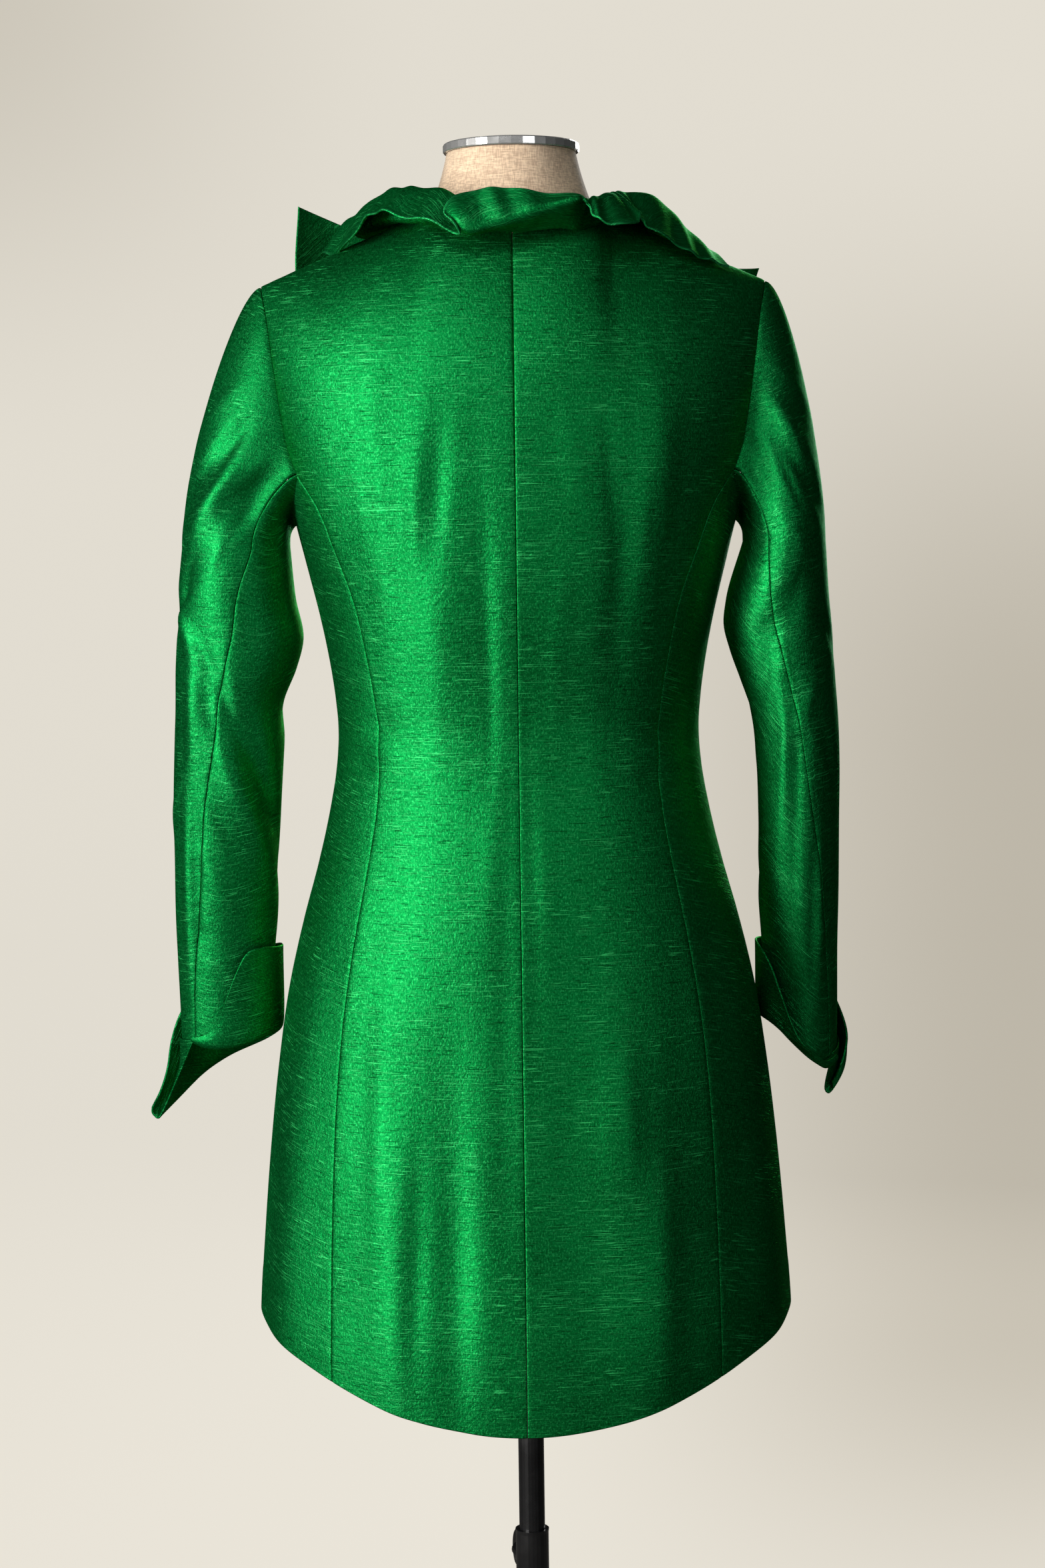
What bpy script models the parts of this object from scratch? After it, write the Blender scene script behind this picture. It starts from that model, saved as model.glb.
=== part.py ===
"""Fitted silk jacket with a ruffled collar, worn by a limbless dress form on a stand.

Metres, +Z up. The front faces -Y and the wearer's left is +X. The origin is the
centre of the foot's underside. A turn is an angle round the body in degrees,
0 at centre back, 90 at the wearer's left side and 180 at centre front.
"""
import math

import bmesh
import bpy
import numpy as np
from mathutils import Matrix, Vector

CLOTH = 0.0016            # silk with its underlayer
SEAM_GAP = 0.0003
FORM_SHIFT = 0.0025       # the form sits this far to the left of its pole

UNDERARM_HEIGHT = 1.207
ARMHOLE_STEP = 1.222      # one more row where the front armhole turns up
BLADE_HEIGHT = 1.245      # where the princess seam meets the armhole
CHEST_HEIGHT = 1.240      # the shoulders start to round over here
SHOULDER_X, SHOULDER_HEIGHT = 0.197, 1.394
NECK_X, NECK_HEIGHT = 0.072, 1.446
NAPE_DROP, THROAT_DROP = 0.018, 0.055
NECK_Y, NAPE_REACH, THROAT_REACH = 0.012, 0.053, 0.066
SIDE_SEAM_TURN = 97.0
SIDE_HEM_HEIGHT, HEM_DROP = 0.587, 0.0655
BREAK_HEIGHT = 1.085      # where the fronts meet and the lapels start
RUFFLE = 0.0013           # the single layer of the ruffle
CUFF_GAP = 0.0009         # between a cuff and the sleeve inside it
CUFF_STATIONS = 28
SLEEVE_HEAD_FOOT = 1.190  # the sleeve is a plain tube from here down
ELBOW_COLUMN, FRONT_COLUMN = 7, 17
FRONT_SEAM_TURN = 236.0

NECK_RADIUS, NECK_TOP = 0.0505, 1.4935
CAP_RADIUS, CAP_TOP, CAP_BAND = 0.0531, 1.5005, 0.0045
FORM_INSET, FORM_CREST_INSET = 0.0034, 0.0023
FORM_FOOT_HEIGHT = 0.700

POLE_RADIUS, POLE_FOOT = 0.0103, 0.190
TUBE_RADIUS, TUBE_BORE, TUBE_RIM = 0.0132, 0.0108, 0.401
FOOT_RADIUS, FOOT_THICKNESS = 0.180, 0.010
SCREW_HEIGHT, SCREW_RADIUS, SCREW_HEADING = 0.3745, 0.0040, 20.0
BOSS_RADIUS, BOSS_REACH = 0.0085, 0.0225


def table(columns, rows):
    """A table as one array for each named column."""
    return dict(zip(columns.split(), np.array(rows, float).T))


# widths and depths of the jacket's body, measured to the outside of the cloth
BODY = table("height half_width back front", [
    (0.500, 0.2115, 0.166, 0.148),
    (0.587, 0.2115, 0.165, 0.148),
    (0.645, 0.2075, 0.158, 0.146),
    (0.720, 0.2010, 0.149, 0.141),
    (0.780, 0.1942, 0.141, 0.136),
    (0.845, 0.1842, 0.132, 0.129),
    (0.900, 0.1712, 0.124, 0.122),
    (0.940, 0.1600, 0.117, 0.116),
    (0.980, 0.1505, 0.110, 0.110),
    (1.020, 0.1437, 0.106, 0.107),
    (1.045, 0.1422, 0.105, 0.106),
    (1.075, 0.1445, 0.107, 0.108),
    (1.105, 0.1490, 0.111, 0.112),
    (1.135, 0.1550, 0.115, 0.118),
    (1.170, 0.1635, 0.118, 0.124),
    (1.210, 0.1735, 0.120, 0.127),
    (1.250, 0.1840, 0.120, 0.124),
    (1.300, 0.1950, 0.119, 0.116),
    (1.350, 0.2020, 0.117, 0.108),
    (1.385, 0.2035, 0.115, 0.102),
    (1.460, 0.2035, 0.113, 0.098),
])

# the dress form below the chest; above it follows the jacket
FORM = table("height half_width back front", [
    (0.700, 0.1560, 0.112, 0.102),
    (0.760, 0.1640, 0.118, 0.106),
    (0.830, 0.1680, 0.119, 0.108),
    (0.900, 0.1600, 0.114, 0.107),
    (0.960, 0.1470, 0.105, 0.104),
    (1.020, 0.1390, 0.101, 0.102),
    (1.075, 0.1405, 0.103, 0.104),
    (1.135, 0.1510, 0.111, 0.114),
    (1.210, 0.1700, 0.117, 0.124),
])

# distance of each lengthwise seam from the middle of the body
PRINCESS = table("height out", [
    (0.500, 0.1490), (0.580, 0.1488), (0.710, 0.1455), (0.765, 0.1425),
    (0.830, 0.1358), (0.885, 0.1275), (0.950, 0.1155), (0.985, 0.1098),
    (1.010, 0.1078), (1.040, 0.1078), (1.080, 0.1115), (1.105, 0.1160),
    (1.145, 0.1245), (1.185, 0.1390), (1.220, 0.1530), (1.245, 0.1690),
])
BACK_ARMHOLE = table("height out", [
    (1.245, 0.1690), (1.262, 0.1755), (1.285, 0.1800), (1.330, 0.1865),
    (1.362, 0.1912), (1.394, 0.1970),
])
FRONT_ARMHOLE = table("height out", [
    (1.207, 0.1715), (1.222, 0.1660), (1.250, 0.1620), (1.290, 0.1640),
    (1.335, 0.1740), (1.365, 0.1850), (1.394, 0.1970),
])
NECKLINE = table("height out", [
    (1.085, 0.0004), (1.130, 0.0120), (1.207, 0.0320), (1.300, 0.0530),
    (1.380, 0.0665), (1.446, 0.0720),
])

# soft folds that run down the body: depth is outward, lean is degrees a metre
BODY_FOLDS = table("turn height wide tall depth lean", [
    (28.0, 0.640, 7.0, 0.160, 0.0040, 10.0),
    (17.0, 0.660, 5.0, 0.130, -0.0025, 5.0),
    (-26.0, 0.640, 8.0, 0.150, 0.0035, -12.0),
    (-14.0, 0.660, 6.0, 0.120, -0.0025, 0.0),
    (62.0, 0.640, 9.0, 0.170, 0.0035, 0.0),
    (-64.0, 0.640, 9.0, 0.170, 0.0035, 0.0),
    (125.0, 0.660, 9.0, 0.170, 0.0040, 0.0),
    (-125.0, 0.660, 9.0, 0.170, 0.0040, 0.0),
    (152.0, 0.650, 7.0, 0.150, -0.0025, 0.0),
    (-152.0, 0.650, 7.0, 0.150, -0.0025, 0.0),
    (24.0, 1.130, 6.0, 0.110, 0.0022, -30.0),
    (10.0, 1.150, 5.0, 0.110, -0.0018, -20.0),
    (-20.0, 1.140, 7.0, 0.120, 0.0020, 25.0),
    (-38.0, 1.230, 5.0, 0.090, 0.0022, 10.0),
    (-29.0, 1.200, 4.0, 0.080, -0.0016, 10.0),
    (38.0, 1.210, 5.0, 0.090, 0.0020, -20.0),
])

# the sleeves: where the tube lies at each height, and its half axes
LEFT_SLEEVE = table("height across along half_across half_along", [
    (1.190, 0.2205, -0.001, 0.0425, 0.0500),
    (1.150, 0.2210, -0.002, 0.0466, 0.0485),
    (1.117, 0.2190, -0.003, 0.0500, 0.0465),
    (1.095, 0.2225, -0.003, 0.0478, 0.0450),
    (1.070, 0.2278, -0.004, 0.0432, 0.0440),
    (1.040, 0.2290, -0.005, 0.0434, 0.0420),
    (0.990, 0.2318, -0.008, 0.0428, 0.0395),
    (0.944, 0.2335, -0.012, 0.0416, 0.0370),
    (0.900, 0.2350, -0.017, 0.0408, 0.0350),
    (0.860, 0.2368, -0.022, 0.0385, 0.0340),
    (0.820, 0.2372, -0.028, 0.0375, 0.0335),
    (0.760, 0.2372, -0.036, 0.0370, 0.0330),
])
RIGHT_SLEEVE = table("height across along half_across half_along", [
    (1.190, 0.2110, -0.001, 0.0325, 0.0560),
    (1.143, 0.2055, -0.002, 0.0408, 0.0545),
    (1.125, 0.2055, -0.003, 0.0425, 0.0530),
    (1.105, 0.2085, -0.003, 0.0408, 0.0515),
    (1.080, 0.2136, -0.004, 0.0372, 0.0505),
    (1.050, 0.2190, -0.005, 0.0340, 0.0495),
    (1.017, 0.2212, -0.007, 0.0328, 0.0475),
    (0.970, 0.2218, -0.011, 0.0320, 0.0455),
    (0.906, 0.2218, -0.018, 0.0318, 0.0430),
    (0.870, 0.2228, -0.022, 0.0302, 0.0415),
    (0.820, 0.2240, -0.029, 0.0293, 0.0405),
    (0.760, 0.2240, -0.037, 0.0290, 0.0400),
])

# sleeve creases: turn is measured from the outer side towards the back
LEFT_CREASES = table("turn height wide tall depth lean", [
    (52.0, 1.262, 30.0, 0.016, -0.0050, 0.0009),
    (62.0, 1.228, 24.0, 0.018, 0.0050, 0.0009),
    (100.0, 1.225, 22.0, 0.022, -0.0055, 0.0),
    (20.0, 1.150, 26.0, 0.014, -0.0030, 0.0006),
    (120.0, 1.030, 42.0, 0.020, -0.0060, -0.0013),
    (105.0, 1.000, 38.0, 0.018, 0.0048, -0.0013),
    (300.0, 1.120, 40.0, 0.020, -0.0040, 0.0006),
    (262.0, 1.030, 36.0, 0.022, -0.0045, 0.0008),
    (290.0, 0.960, 34.0, 0.018, 0.0030, 0.0005),
])
RIGHT_CREASES = table("turn height wide tall depth lean", [
    (70.0, 1.290, 26.0, 0.018, 0.0045, 0.0009),
    (115.0, 1.268, 20.0, 0.014, -0.0060, 0.0006),
    (60.0, 1.245, 30.0, 0.016, -0.0035, 0.0009),
    (95.0, 1.130, 30.0, 0.020, -0.0035, -0.0008),
    (120.0, 0.990, 26.0, 0.060, 0.0035, 0.0),
    (85.0, 0.930, 16.0, 0.110, 0.0030, 0.0),
    (290.0, 1.110, 40.0, 0.020, -0.0040, 0.0006),
    (250.0, 1.020, 36.0, 0.022, -0.0045, 0.0008),
])

# cuffs, from the slit round the arm and back to it: hem is the sleeve's end; the cloth
# drops to its fold and turns up to its free edge; each is given round the sleeve as a
# turn, a distance out from the sleeve and a height, and roll is half the fold's width
CUFF_COLUMNS = "turn hem fold_turn fold_out fold_height edge_turn edge_out edge_height roll"
LEFT_CUFF = table(CUFF_COLUMNS, [
    (52.0, 0.8025, 53.0, 0.0030, 0.8000, 56.0, 0.0070, 0.8035, 0.0016),
    (62.0, 0.8005, 62.0, 0.0030, 0.7980, 66.0, 0.0080, 0.8045, 0.0020),
    (72.0, 0.7990, 72.0, 0.0030, 0.7965, 76.0, 0.0085, 0.8080, 0.0022),
    (84.0, 0.7985, 84.0, 0.0030, 0.7960, 86.0, 0.0090, 0.8180, 0.0022),
    (96.0, 0.7995, 96.0, 0.0030, 0.7968, 95.0, 0.0095, 0.8370, 0.0022),
    (108.0, 0.8015, 108.0, 0.0030, 0.7985, 104.0, 0.0095, 0.8560, 0.0022),
    (120.0, 0.8035, 120.0, 0.0030, 0.8005, 114.0, 0.0090, 0.8710, 0.0022),
    (134.0, 0.8060, 134.0, 0.0030, 0.8030, 128.0, 0.0080, 0.8750, 0.0022),
    (155.0, 0.8090, 155.0, 0.0030, 0.8060, 152.0, 0.0065, 0.8742, 0.0022),
    (180.0, 0.8100, 180.0, 0.0026, 0.8072, 180.0, 0.0055, 0.8735, 0.0018),
    (208.0, 0.8080, 206.0, 0.0028, 0.8010, 208.0, 0.0060, 0.8725, 0.0018),
    (238.0, 0.8050, 236.0, 0.0032, 0.7915, 238.0, 0.0072, 0.8660, 0.0022),
    (270.0, 0.8020, 267.0, 0.0036, 0.7815, 270.0, 0.0085, 0.8550, 0.0024),
    (300.0, 0.8000, 289.0, 0.0038, 0.7725, 300.0, 0.0100, 0.8370, 0.0026),
    (328.0, 0.7990, 308.0, 0.0042, 0.7635, 325.0, 0.0125, 0.8150, 0.0026),
    (352.0, 0.7985, 321.0, 0.0060, 0.7560, 337.0, 0.0155, 0.7925, 0.0024),
    (374.0, 0.7985, 333.0, 0.0090, 0.7485, 343.0, 0.0175, 0.7700, 0.0024),
    (394.0, 0.7990, 345.0, 0.0145, 0.7400, 351.0, 0.0210, 0.7530, 0.0024),
    (412.0, 0.8010, 357.0, 0.0205, 0.7325, 360.0, 0.0265, 0.7400, 0.0024),
])
RIGHT_CUFF = table(CUFF_COLUMNS, [
    (40.0, 0.7810, 40.0, 0.0030, 0.7780, 43.0, 0.0060, 0.7815, 0.0014),
    (50.0, 0.7785, 50.0, 0.0030, 0.7752, 54.0, 0.0065, 0.7790, 0.0016),
    (61.0, 0.7775, 61.0, 0.0030, 0.7738, 66.0, 0.0080, 0.7785, 0.0020),
    (74.0, 0.7815, 74.0, 0.0030, 0.7782, 76.0, 0.0105, 0.7840, 0.0022),
    (87.0, 0.7875, 87.0, 0.0030, 0.7840, 87.0, 0.0125, 0.7900, 0.0022),
    (100.0, 0.7950, 100.0, 0.0030, 0.7912, 98.0, 0.0135, 0.7985, 0.0022),
    (112.0, 0.8015, 112.0, 0.0030, 0.7982, 108.0, 0.0135, 0.8150, 0.0022),
    (125.0, 0.8090, 125.0, 0.0030, 0.8055, 119.0, 0.0120, 0.8360, 0.0022),
    (140.0, 0.8140, 140.0, 0.0030, 0.8108, 132.0, 0.0095, 0.8560, 0.0022),
    (158.0, 0.8165, 158.0, 0.0028, 0.8130, 151.0, 0.0068, 0.8680, 0.0018),
    (180.0, 0.8165, 180.0, 0.0024, 0.8132, 177.0, 0.0046, 0.8720, 0.0014),
    (208.0, 0.8150, 208.0, 0.0026, 0.8110, 207.0, 0.0050, 0.8720, 0.0014),
    (238.0, 0.8110, 238.0, 0.0030, 0.8060, 238.0, 0.0060, 0.8690, 0.0020),
    (270.0, 0.8060, 270.0, 0.0034, 0.7990, 270.0, 0.0070, 0.8600, 0.0022),
    (300.0, 0.8010, 300.0, 0.0034, 0.7910, 300.0, 0.0075, 0.8420, 0.0022),
    (328.0, 0.7960, 328.0, 0.0034, 0.7820, 330.0, 0.0085, 0.8150, 0.0022),
    (352.0, 0.7910, 350.0, 0.0030, 0.7730, 352.0, 0.0095, 0.7930, 0.0020),
    (372.0, 0.7870, 366.0, 0.0000, 0.7635, 367.0, 0.0060, 0.7770, 0.0022),
    (388.0, 0.7840, 379.0, -0.0045, 0.7550, 378.5, 0.0015, 0.7640, 0.0024),
    (400.0, 0.7825, 387.0, -0.0080, 0.7490, 387.0, -0.0020, 0.7570, 0.0024),
])

# turn of the elbow seam down each sleeve
LEFT_ELBOW = table("height turn", [
    (1.245, 115.0), (1.190, 113.0), (1.160, 99.0), (1.120, 87.0), (1.040, 79.5),
    (0.980, 69.0), (0.890, 60.0), (0.810, 50.5), (0.760, 48.0),
])
RIGHT_ELBOW = table("height turn", [
    (1.245, 128.0), (1.190, 120.0), (1.160, 108.0), (1.110, 97.0), (1.060, 94.0),
    (1.005, 84.0), (0.935, 64.0), (0.860, 50.0), (0.815, 45.0), (0.760, 44.0),
])

# the ruffle from the left front round the back to the right front
COLLAR = table("seam ridge_x ridge_y ridge_z edge_x edge_y edge_z", [
    (1.12, 0.118, -0.034, 1.453, 0.152, -0.022, 1.419),
    (0.97, 0.108, -0.008, 1.466, 0.138, 0.002, 1.438),
    (0.82, 0.100, 0.018, 1.470, 0.121, 0.024, 1.457),
    (0.70, 0.090, 0.038, 1.472, 0.104, 0.048, 1.449),
    (0.59, 0.075, 0.050, 1.472, 0.084, 0.064, 1.443),
    (0.47, 0.060, 0.060, 1.470, 0.064, 0.080, 1.437),
    (0.37, 0.047, 0.068, 1.462, 0.049, 0.090, 1.431),
    (0.27, 0.040, 0.076, 1.451, 0.052, 0.086, 1.446),
    (0.17, 0.025, 0.081, 1.446, 0.040, 0.081, 1.464),
    (0.03, 0.006, 0.083, 1.446, 0.013, 0.079, 1.469),
    (-0.12, -0.016, 0.083, 1.448, -0.020, 0.079, 1.468),
    (-0.27, -0.035, 0.078, 1.453, -0.042, 0.080, 1.463),
    (-0.37, -0.044, 0.071, 1.462, -0.049, 0.087, 1.452),
    (-0.46, -0.053, 0.064, 1.468, -0.057, 0.092, 1.442),
    (-0.55, -0.062, 0.058, 1.470, -0.068, 0.093, 1.438),
    (-0.64, -0.074, 0.050, 1.469, -0.081, 0.088, 1.440),
    (-0.74, -0.087, 0.038, 1.470, -0.096, 0.074, 1.443),
    (-0.85, -0.102, 0.022, 1.468, -0.113, 0.056, 1.435),
    (-0.97, -0.118, 0.004, 1.457, -0.132, 0.034, 1.425),
    (-1.12, -0.132, -0.022, 1.446, -0.156, 0.004, 1.417),
])

# the front flaps: the outer edge from the waist up to the tip
LEFT_LAPEL = table("share out height lift", [
    (0.00, 0.0100, 1.092, 0.0010), (0.15, 0.0520, 1.128, 0.0030), (0.30, 0.0900, 1.180, 0.0045),
    (0.50, 0.1260, 1.250, 0.0060), (0.70, 0.1560, 1.330, 0.0080), (0.85, 0.1740, 1.400, 0.0100),
    (1.00, 0.1720, 1.463, 0.0110),
])
RIGHT_LAPEL = table("share out height lift", [
    (0.00, 0.0100, 1.092, 0.0010), (0.15, 0.0520, 1.128, 0.0030), (0.30, 0.0900, 1.180, 0.0045),
    (0.50, 0.1280, 1.245, 0.0060), (0.70, 0.1600, 1.315, 0.0080), (0.85, 0.1800, 1.372, 0.0100),
    (1.00, 0.1860, 1.420, 0.0110),
])


def smooth(tab, column, at):
    """Read a column at any height with a cubic curve through the rows."""
    x, y = tab[next(iter(tab))], tab[column]
    at = np.clip(np.asarray(at, float), min(x[0], x[-1]), max(x[0], x[-1]))
    if x[0] > x[-1]:
        x, y = x[::-1], y[::-1]
    slope = np.gradient(y, x)
    i = np.clip(np.searchsorted(x, at, side="right") - 1, 0, len(x) - 2)
    step = x[i + 1] - x[i]
    t = (at - x[i]) / step
    rise = y[i] * (1 + 2 * t) * (1 - t) ** 2 + y[i + 1] * t * t * (3 - 2 * t)
    return rise + step * (slope[i] * t * (1 - t) ** 2 - slope[i + 1] * t * t * (1 - t))


def blend(a, b, t):
    return a + (b - a) * t


def soft_step(t):
    t = np.clip(t, 0.0, 1.0)
    return t * t * (3 - 2 * t)


def unit(v):
    return v / np.maximum(np.linalg.norm(v, axis=-1, keepdims=True), 1e-12)


def crest(x, front, inset=0.0):
    """Height and y of the top edge over x: the neck seam, then the shoulder seam."""
    out, neck = np.abs(x), NECK_X - 2.5 * inset
    inside = np.clip(1 - (out / neck) ** 2, 0.0, 1.0)
    along = np.clip((out - neck) / (SHOULDER_X - neck), 0.0, 1.3)
    height = blend(NECK_HEIGHT, SHOULDER_HEIGHT, along) - inset
    height = height - np.where(front, THROAT_DROP, NAPE_DROP) * inside
    reach = np.where(front, -THROAT_REACH, NAPE_REACH) * (1 - 40 * inset)
    return height, NECK_Y * (1 - along) + reach * np.sqrt(inside)


def torso(turn, height, folded=True):
    """A point of the body: an ellipse at each height, rounded over at the shoulders."""
    turn, height = np.broadcast_arrays(np.asarray(turn, float), np.asarray(height, float))
    a = np.radians(turn)
    front = np.cos(a) < 0
    x = smooth(BODY, "half_width", height) * np.sin(a)
    depth = np.where(front, smooth(BODY, "front", height), smooth(BODY, "back", height))
    y = depth * np.cos(a)
    top, top_y = crest(x, front)
    s = np.clip((height + 0.0001 - CHEST_HEIGHT) / (top - CHEST_HEIGHT), 0.0, 1.0)
    side = np.clip(np.abs(x) / 0.12, 0.0, 1.0)
    round_over = (1 - s ** blend(2.4, 3.0, side)) ** (1 / blend(1.15, 1.7, side))
    y = top_y + (y - top_y) * round_over
    if folded:
        lift = folds(BODY_FOLDS, (turn + 180) % 360 - 180, height)
        lift = lift * soft_step((top - height) / 0.06)
        x, y = x + lift * np.sin(a), y + lift * np.cos(a)
    return np.stack([x, y, height], -1)


def folds(tab, turn, height, reach=1.0):
    """Sum of soft ridges and troughs, each a bell across and along."""
    lift = np.zeros(np.broadcast(turn, height).shape)
    for k in range(len(tab["turn"])):
        centre = tab["turn"][k] + tab["lean"][k] * (height - tab["height"][k])
        across = (turn - centre) / tab["wide"][k]
        along = (height - tab["height"][k]) / tab["tall"][k]
        lift = lift + reach * tab["depth"][k] * np.exp(-across ** 2 - along ** 2)
    return lift


def torso_normal(turn, height):
    """Outward direction of the body's cloth; straight up along the shoulder seam."""
    turn, height = np.broadcast_arrays(np.asarray(turn, float), np.asarray(height, float))
    dt, dh = 0.2, 0.0005
    along = torso(turn + dt, height) - torso(turn - dt, height)
    up = torso(turn, height + dh) - torso(turn, height - dh)
    normal = unit(np.cross(up, along))
    point = torso(turn, height)
    top, _ = crest(point[..., 0], point[..., 1] < 0)
    s = np.clip((height - CHEST_HEIGHT) / (top - CHEST_HEIGHT), 0.0, 1.0)
    lift = soft_step((s - 0.8) / 0.2) * soft_step((np.abs(point[..., 0]) - 0.060) / 0.012)
    return unit(normal * (1 - lift[..., None]) + np.array([0, 0, 1.0]) * lift[..., None])


def turn_at(out, height, front=False):
    """The turn at which the body is this far out from its middle plane."""
    ratio = np.clip(out / smooth(BODY, "half_width", height), 0.0, 1.0)
    turn = np.degrees(np.arcsin(ratio))
    return 180 - turn if front else turn


def gap_turn(turn, height, distance):
    """The change of turn that moves a point this far round the body."""
    a = np.radians(turn)
    width = smooth(BODY, "half_width", height)
    depth = np.where(np.cos(a) < 0, smooth(BODY, "front", height), smooth(BODY, "back", height))
    return np.degrees(distance / np.hypot(width * np.cos(a), depth * np.sin(a)))


def hem_height(turn):
    """The hem dips at centre back and rises to the sides; the front corners round up."""
    back = np.clip(np.cos(np.radians(turn)), 0.0, 1.0) ** 2
    corner = np.clip((np.abs(turn) - 150) / 30, 0.0, 1.0) ** 3
    return SIDE_HEM_HEIGHT - HEM_DROP * back + 0.055 * corner


def seam_edge(kind, rows):
    """Turn and height of a lengthwise seam, from the hem up to the armhole's level."""
    if kind == "centre":
        turn = np.zeros(len(rows))
        return turn, blend(hem_height(0.0), BLADE_HEIGHT, rows)
    if kind == "princess":
        foot = turn_at(smooth(PRINCESS, "out", 0.54), 0.54)
        height = blend(hem_height(foot), BLADE_HEIGHT, rows)
        return turn_at(smooth(PRINCESS, "out", height), height), height
    if kind == "side":
        height = blend(hem_height(SIDE_SEAM_TURN), UNDERARM_HEIGHT, rows)
        return np.full(len(rows), SIDE_SEAM_TURN), height
    height = blend(hem_height(180.0), UNDERARM_HEIGHT, rows)
    return turn_at(smooth(NECKLINE, "out", height), height, front=True), height


def panel(edge_a, edge_b, u, rows, foot, top):
    """Grid of turns and heights between two edges; u is each column's share of the way."""
    turn = blend(edge_a[0][:, None], edge_b[0][:, None], u[None, :])
    low, high = foot(turn[0]), top(turn[-1], u)
    return turn, blend(low[None, :], high[None, :], rows[:, None])


def inset_columns(turn, height):
    """Draw the outer columns in by half the seam's gap."""
    turn = turn.copy()
    ahead = np.sign(turn[:, 1] - turn[:, 0])
    turn[:, 0] += ahead * gap_turn(turn[:, 0], height[:, 0], SEAM_GAP / 2)
    turn[:, -1] -= ahead * gap_turn(turn[:, -1], height[:, -1], SEAM_GAP / 2)
    return turn


def back_columns():
    """Shares of the way across the back, close together under the neck, one at the neck point."""
    neck = np.array([0.0, 0.45, 0.78, 0.95, 1.0]) * NECK_X
    shoulder = blend(NECK_X, SHOULDER_X, np.array([0.2, 0.42, 0.62, 0.80, 1.0]))
    out = np.concatenate([neck, shoulder])
    turn = turn_at(out, 1.42)
    return turn / turn[-1]


def half_back(rows, upper_rows):
    """Centre back: from the centre seam to the princess seam, then to the armhole."""
    u = back_columns()
    low_turn, low_height = panel(seam_edge("centre", rows), seam_edge("princess", rows), u, rows,
                                 hem_height, lambda turn, u: np.full(len(turn), BLADE_HEIGHT))
    edge_height = blend(BLADE_HEIGHT, SHOULDER_HEIGHT, upper_rows)
    edge_turn = turn_at(smooth(BACK_ARMHOLE, "out", edge_height), edge_height)
    turn = edge_turn[:, None] * u[None, :]
    top, _ = crest(smooth(BODY, "half_width", 1.42) * np.sin(np.radians(turn[-1])), False)
    height = blend(BLADE_HEIGHT, top[None, :], upper_rows[:, None])
    return np.vstack([low_turn, turn[1:]]), np.vstack([low_height, height[1:]])


def side_back(rows):
    """Side back: from the princess seam to the side seam, with the armhole on top."""
    def armhole(turn, u):
        return blend(BLADE_HEIGHT, UNDERARM_HEIGHT, np.sin(u * math.pi / 2) ** 0.8)
    return panel(seam_edge("princess", rows), seam_edge("side", rows), np.linspace(0, 1, 8), rows,
                 hem_height, armhole)


def half_front(rows, upper_rows):
    """Front: from the side seam to the front edge, then armhole and neckline above."""
    u = np.linspace(0, 1, 11)
    low_turn, low_height = panel(seam_edge("side", rows), seam_edge("front", rows), u, rows,
                                 hem_height, lambda turn, u: np.full(len(turn), UNDERARM_HEIGHT))
    arm_height = np.append(ARMHOLE_STEP, blend(BLADE_HEIGHT, SHOULDER_HEIGHT, upper_rows))
    arm_turn = turn_at(smooth(FRONT_ARMHOLE, "out", arm_height), arm_height, front=True)
    neck_height = np.append(ARMHOLE_STEP, blend(BLADE_HEIGHT, NECK_HEIGHT, upper_rows))
    neck_turn = turn_at(smooth(NECKLINE, "out", neck_height), neck_height, front=True)
    turn = blend(arm_turn[:, None], neck_turn[:, None], u[None, :])
    top, _ = crest(smooth(BODY, "half_width", 1.42) * np.sin(np.radians(turn[-1])), True)
    height = blend(BLADE_HEIGHT, top[None, :], upper_rows[:, None])
    return np.vstack([low_turn, turn]), np.vstack([low_height, 0 * top + ARMHOLE_STEP, height])


def ring_faces(count, around):
    """Quads between neighbouring rings and one cap at each end."""
    faces = [[i * around + j, i * around + (j + 1) % around,
              (i + 1) * around + (j + 1) % around, (i + 1) * around + j]
             for i in range(count - 1) for j in range(around)]
    last = (count - 1) * around
    return faces + [list(range(around))[::-1], [last + j for j in range(around)]]


def sheet(name, outer, inner, material):
    """A wall of cloth between two grids of points; its rim is split along the shorter diagonals."""
    rows, columns = outer.shape[:2]
    count = rows * columns
    index = np.arange(count).reshape(rows, columns)
    faces = []
    for i in range(rows - 1):
        for j in range(columns - 1):
            a, b, c, d = index[i, j], index[i, j + 1], index[i + 1, j + 1], index[i + 1, j]
            faces += [(a, b, c), (a, c, d), (count + a, count + c, count + b),
                      (count + a, count + d, count + c)]
    points = np.concatenate([outer.reshape(-1, 3), inner.reshape(-1, 3)])
    rim = np.concatenate([index[0, :-1], index[:-1, -1], index[-1, :0:-1], index[:0:-1, 0]])
    for a, b in zip(rim, np.roll(rim, -1)):
        falling = math.dist(points[b], points[count + a])
        rising = math.dist(points[a], points[count + b])
        if falling < rising:
            faces += [(b, a, count + a), (b, count + a, count + b)]
        else:
            faces += [(b, a, count + b), (a, count + a, count + b)]
    mesh = bpy.data.meshes.new(name)
    mesh.from_pydata([tuple(p) for p in points], [], [tuple(int(k) for k in f) for f in faces])
    return finish(name, mesh, material)


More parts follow.
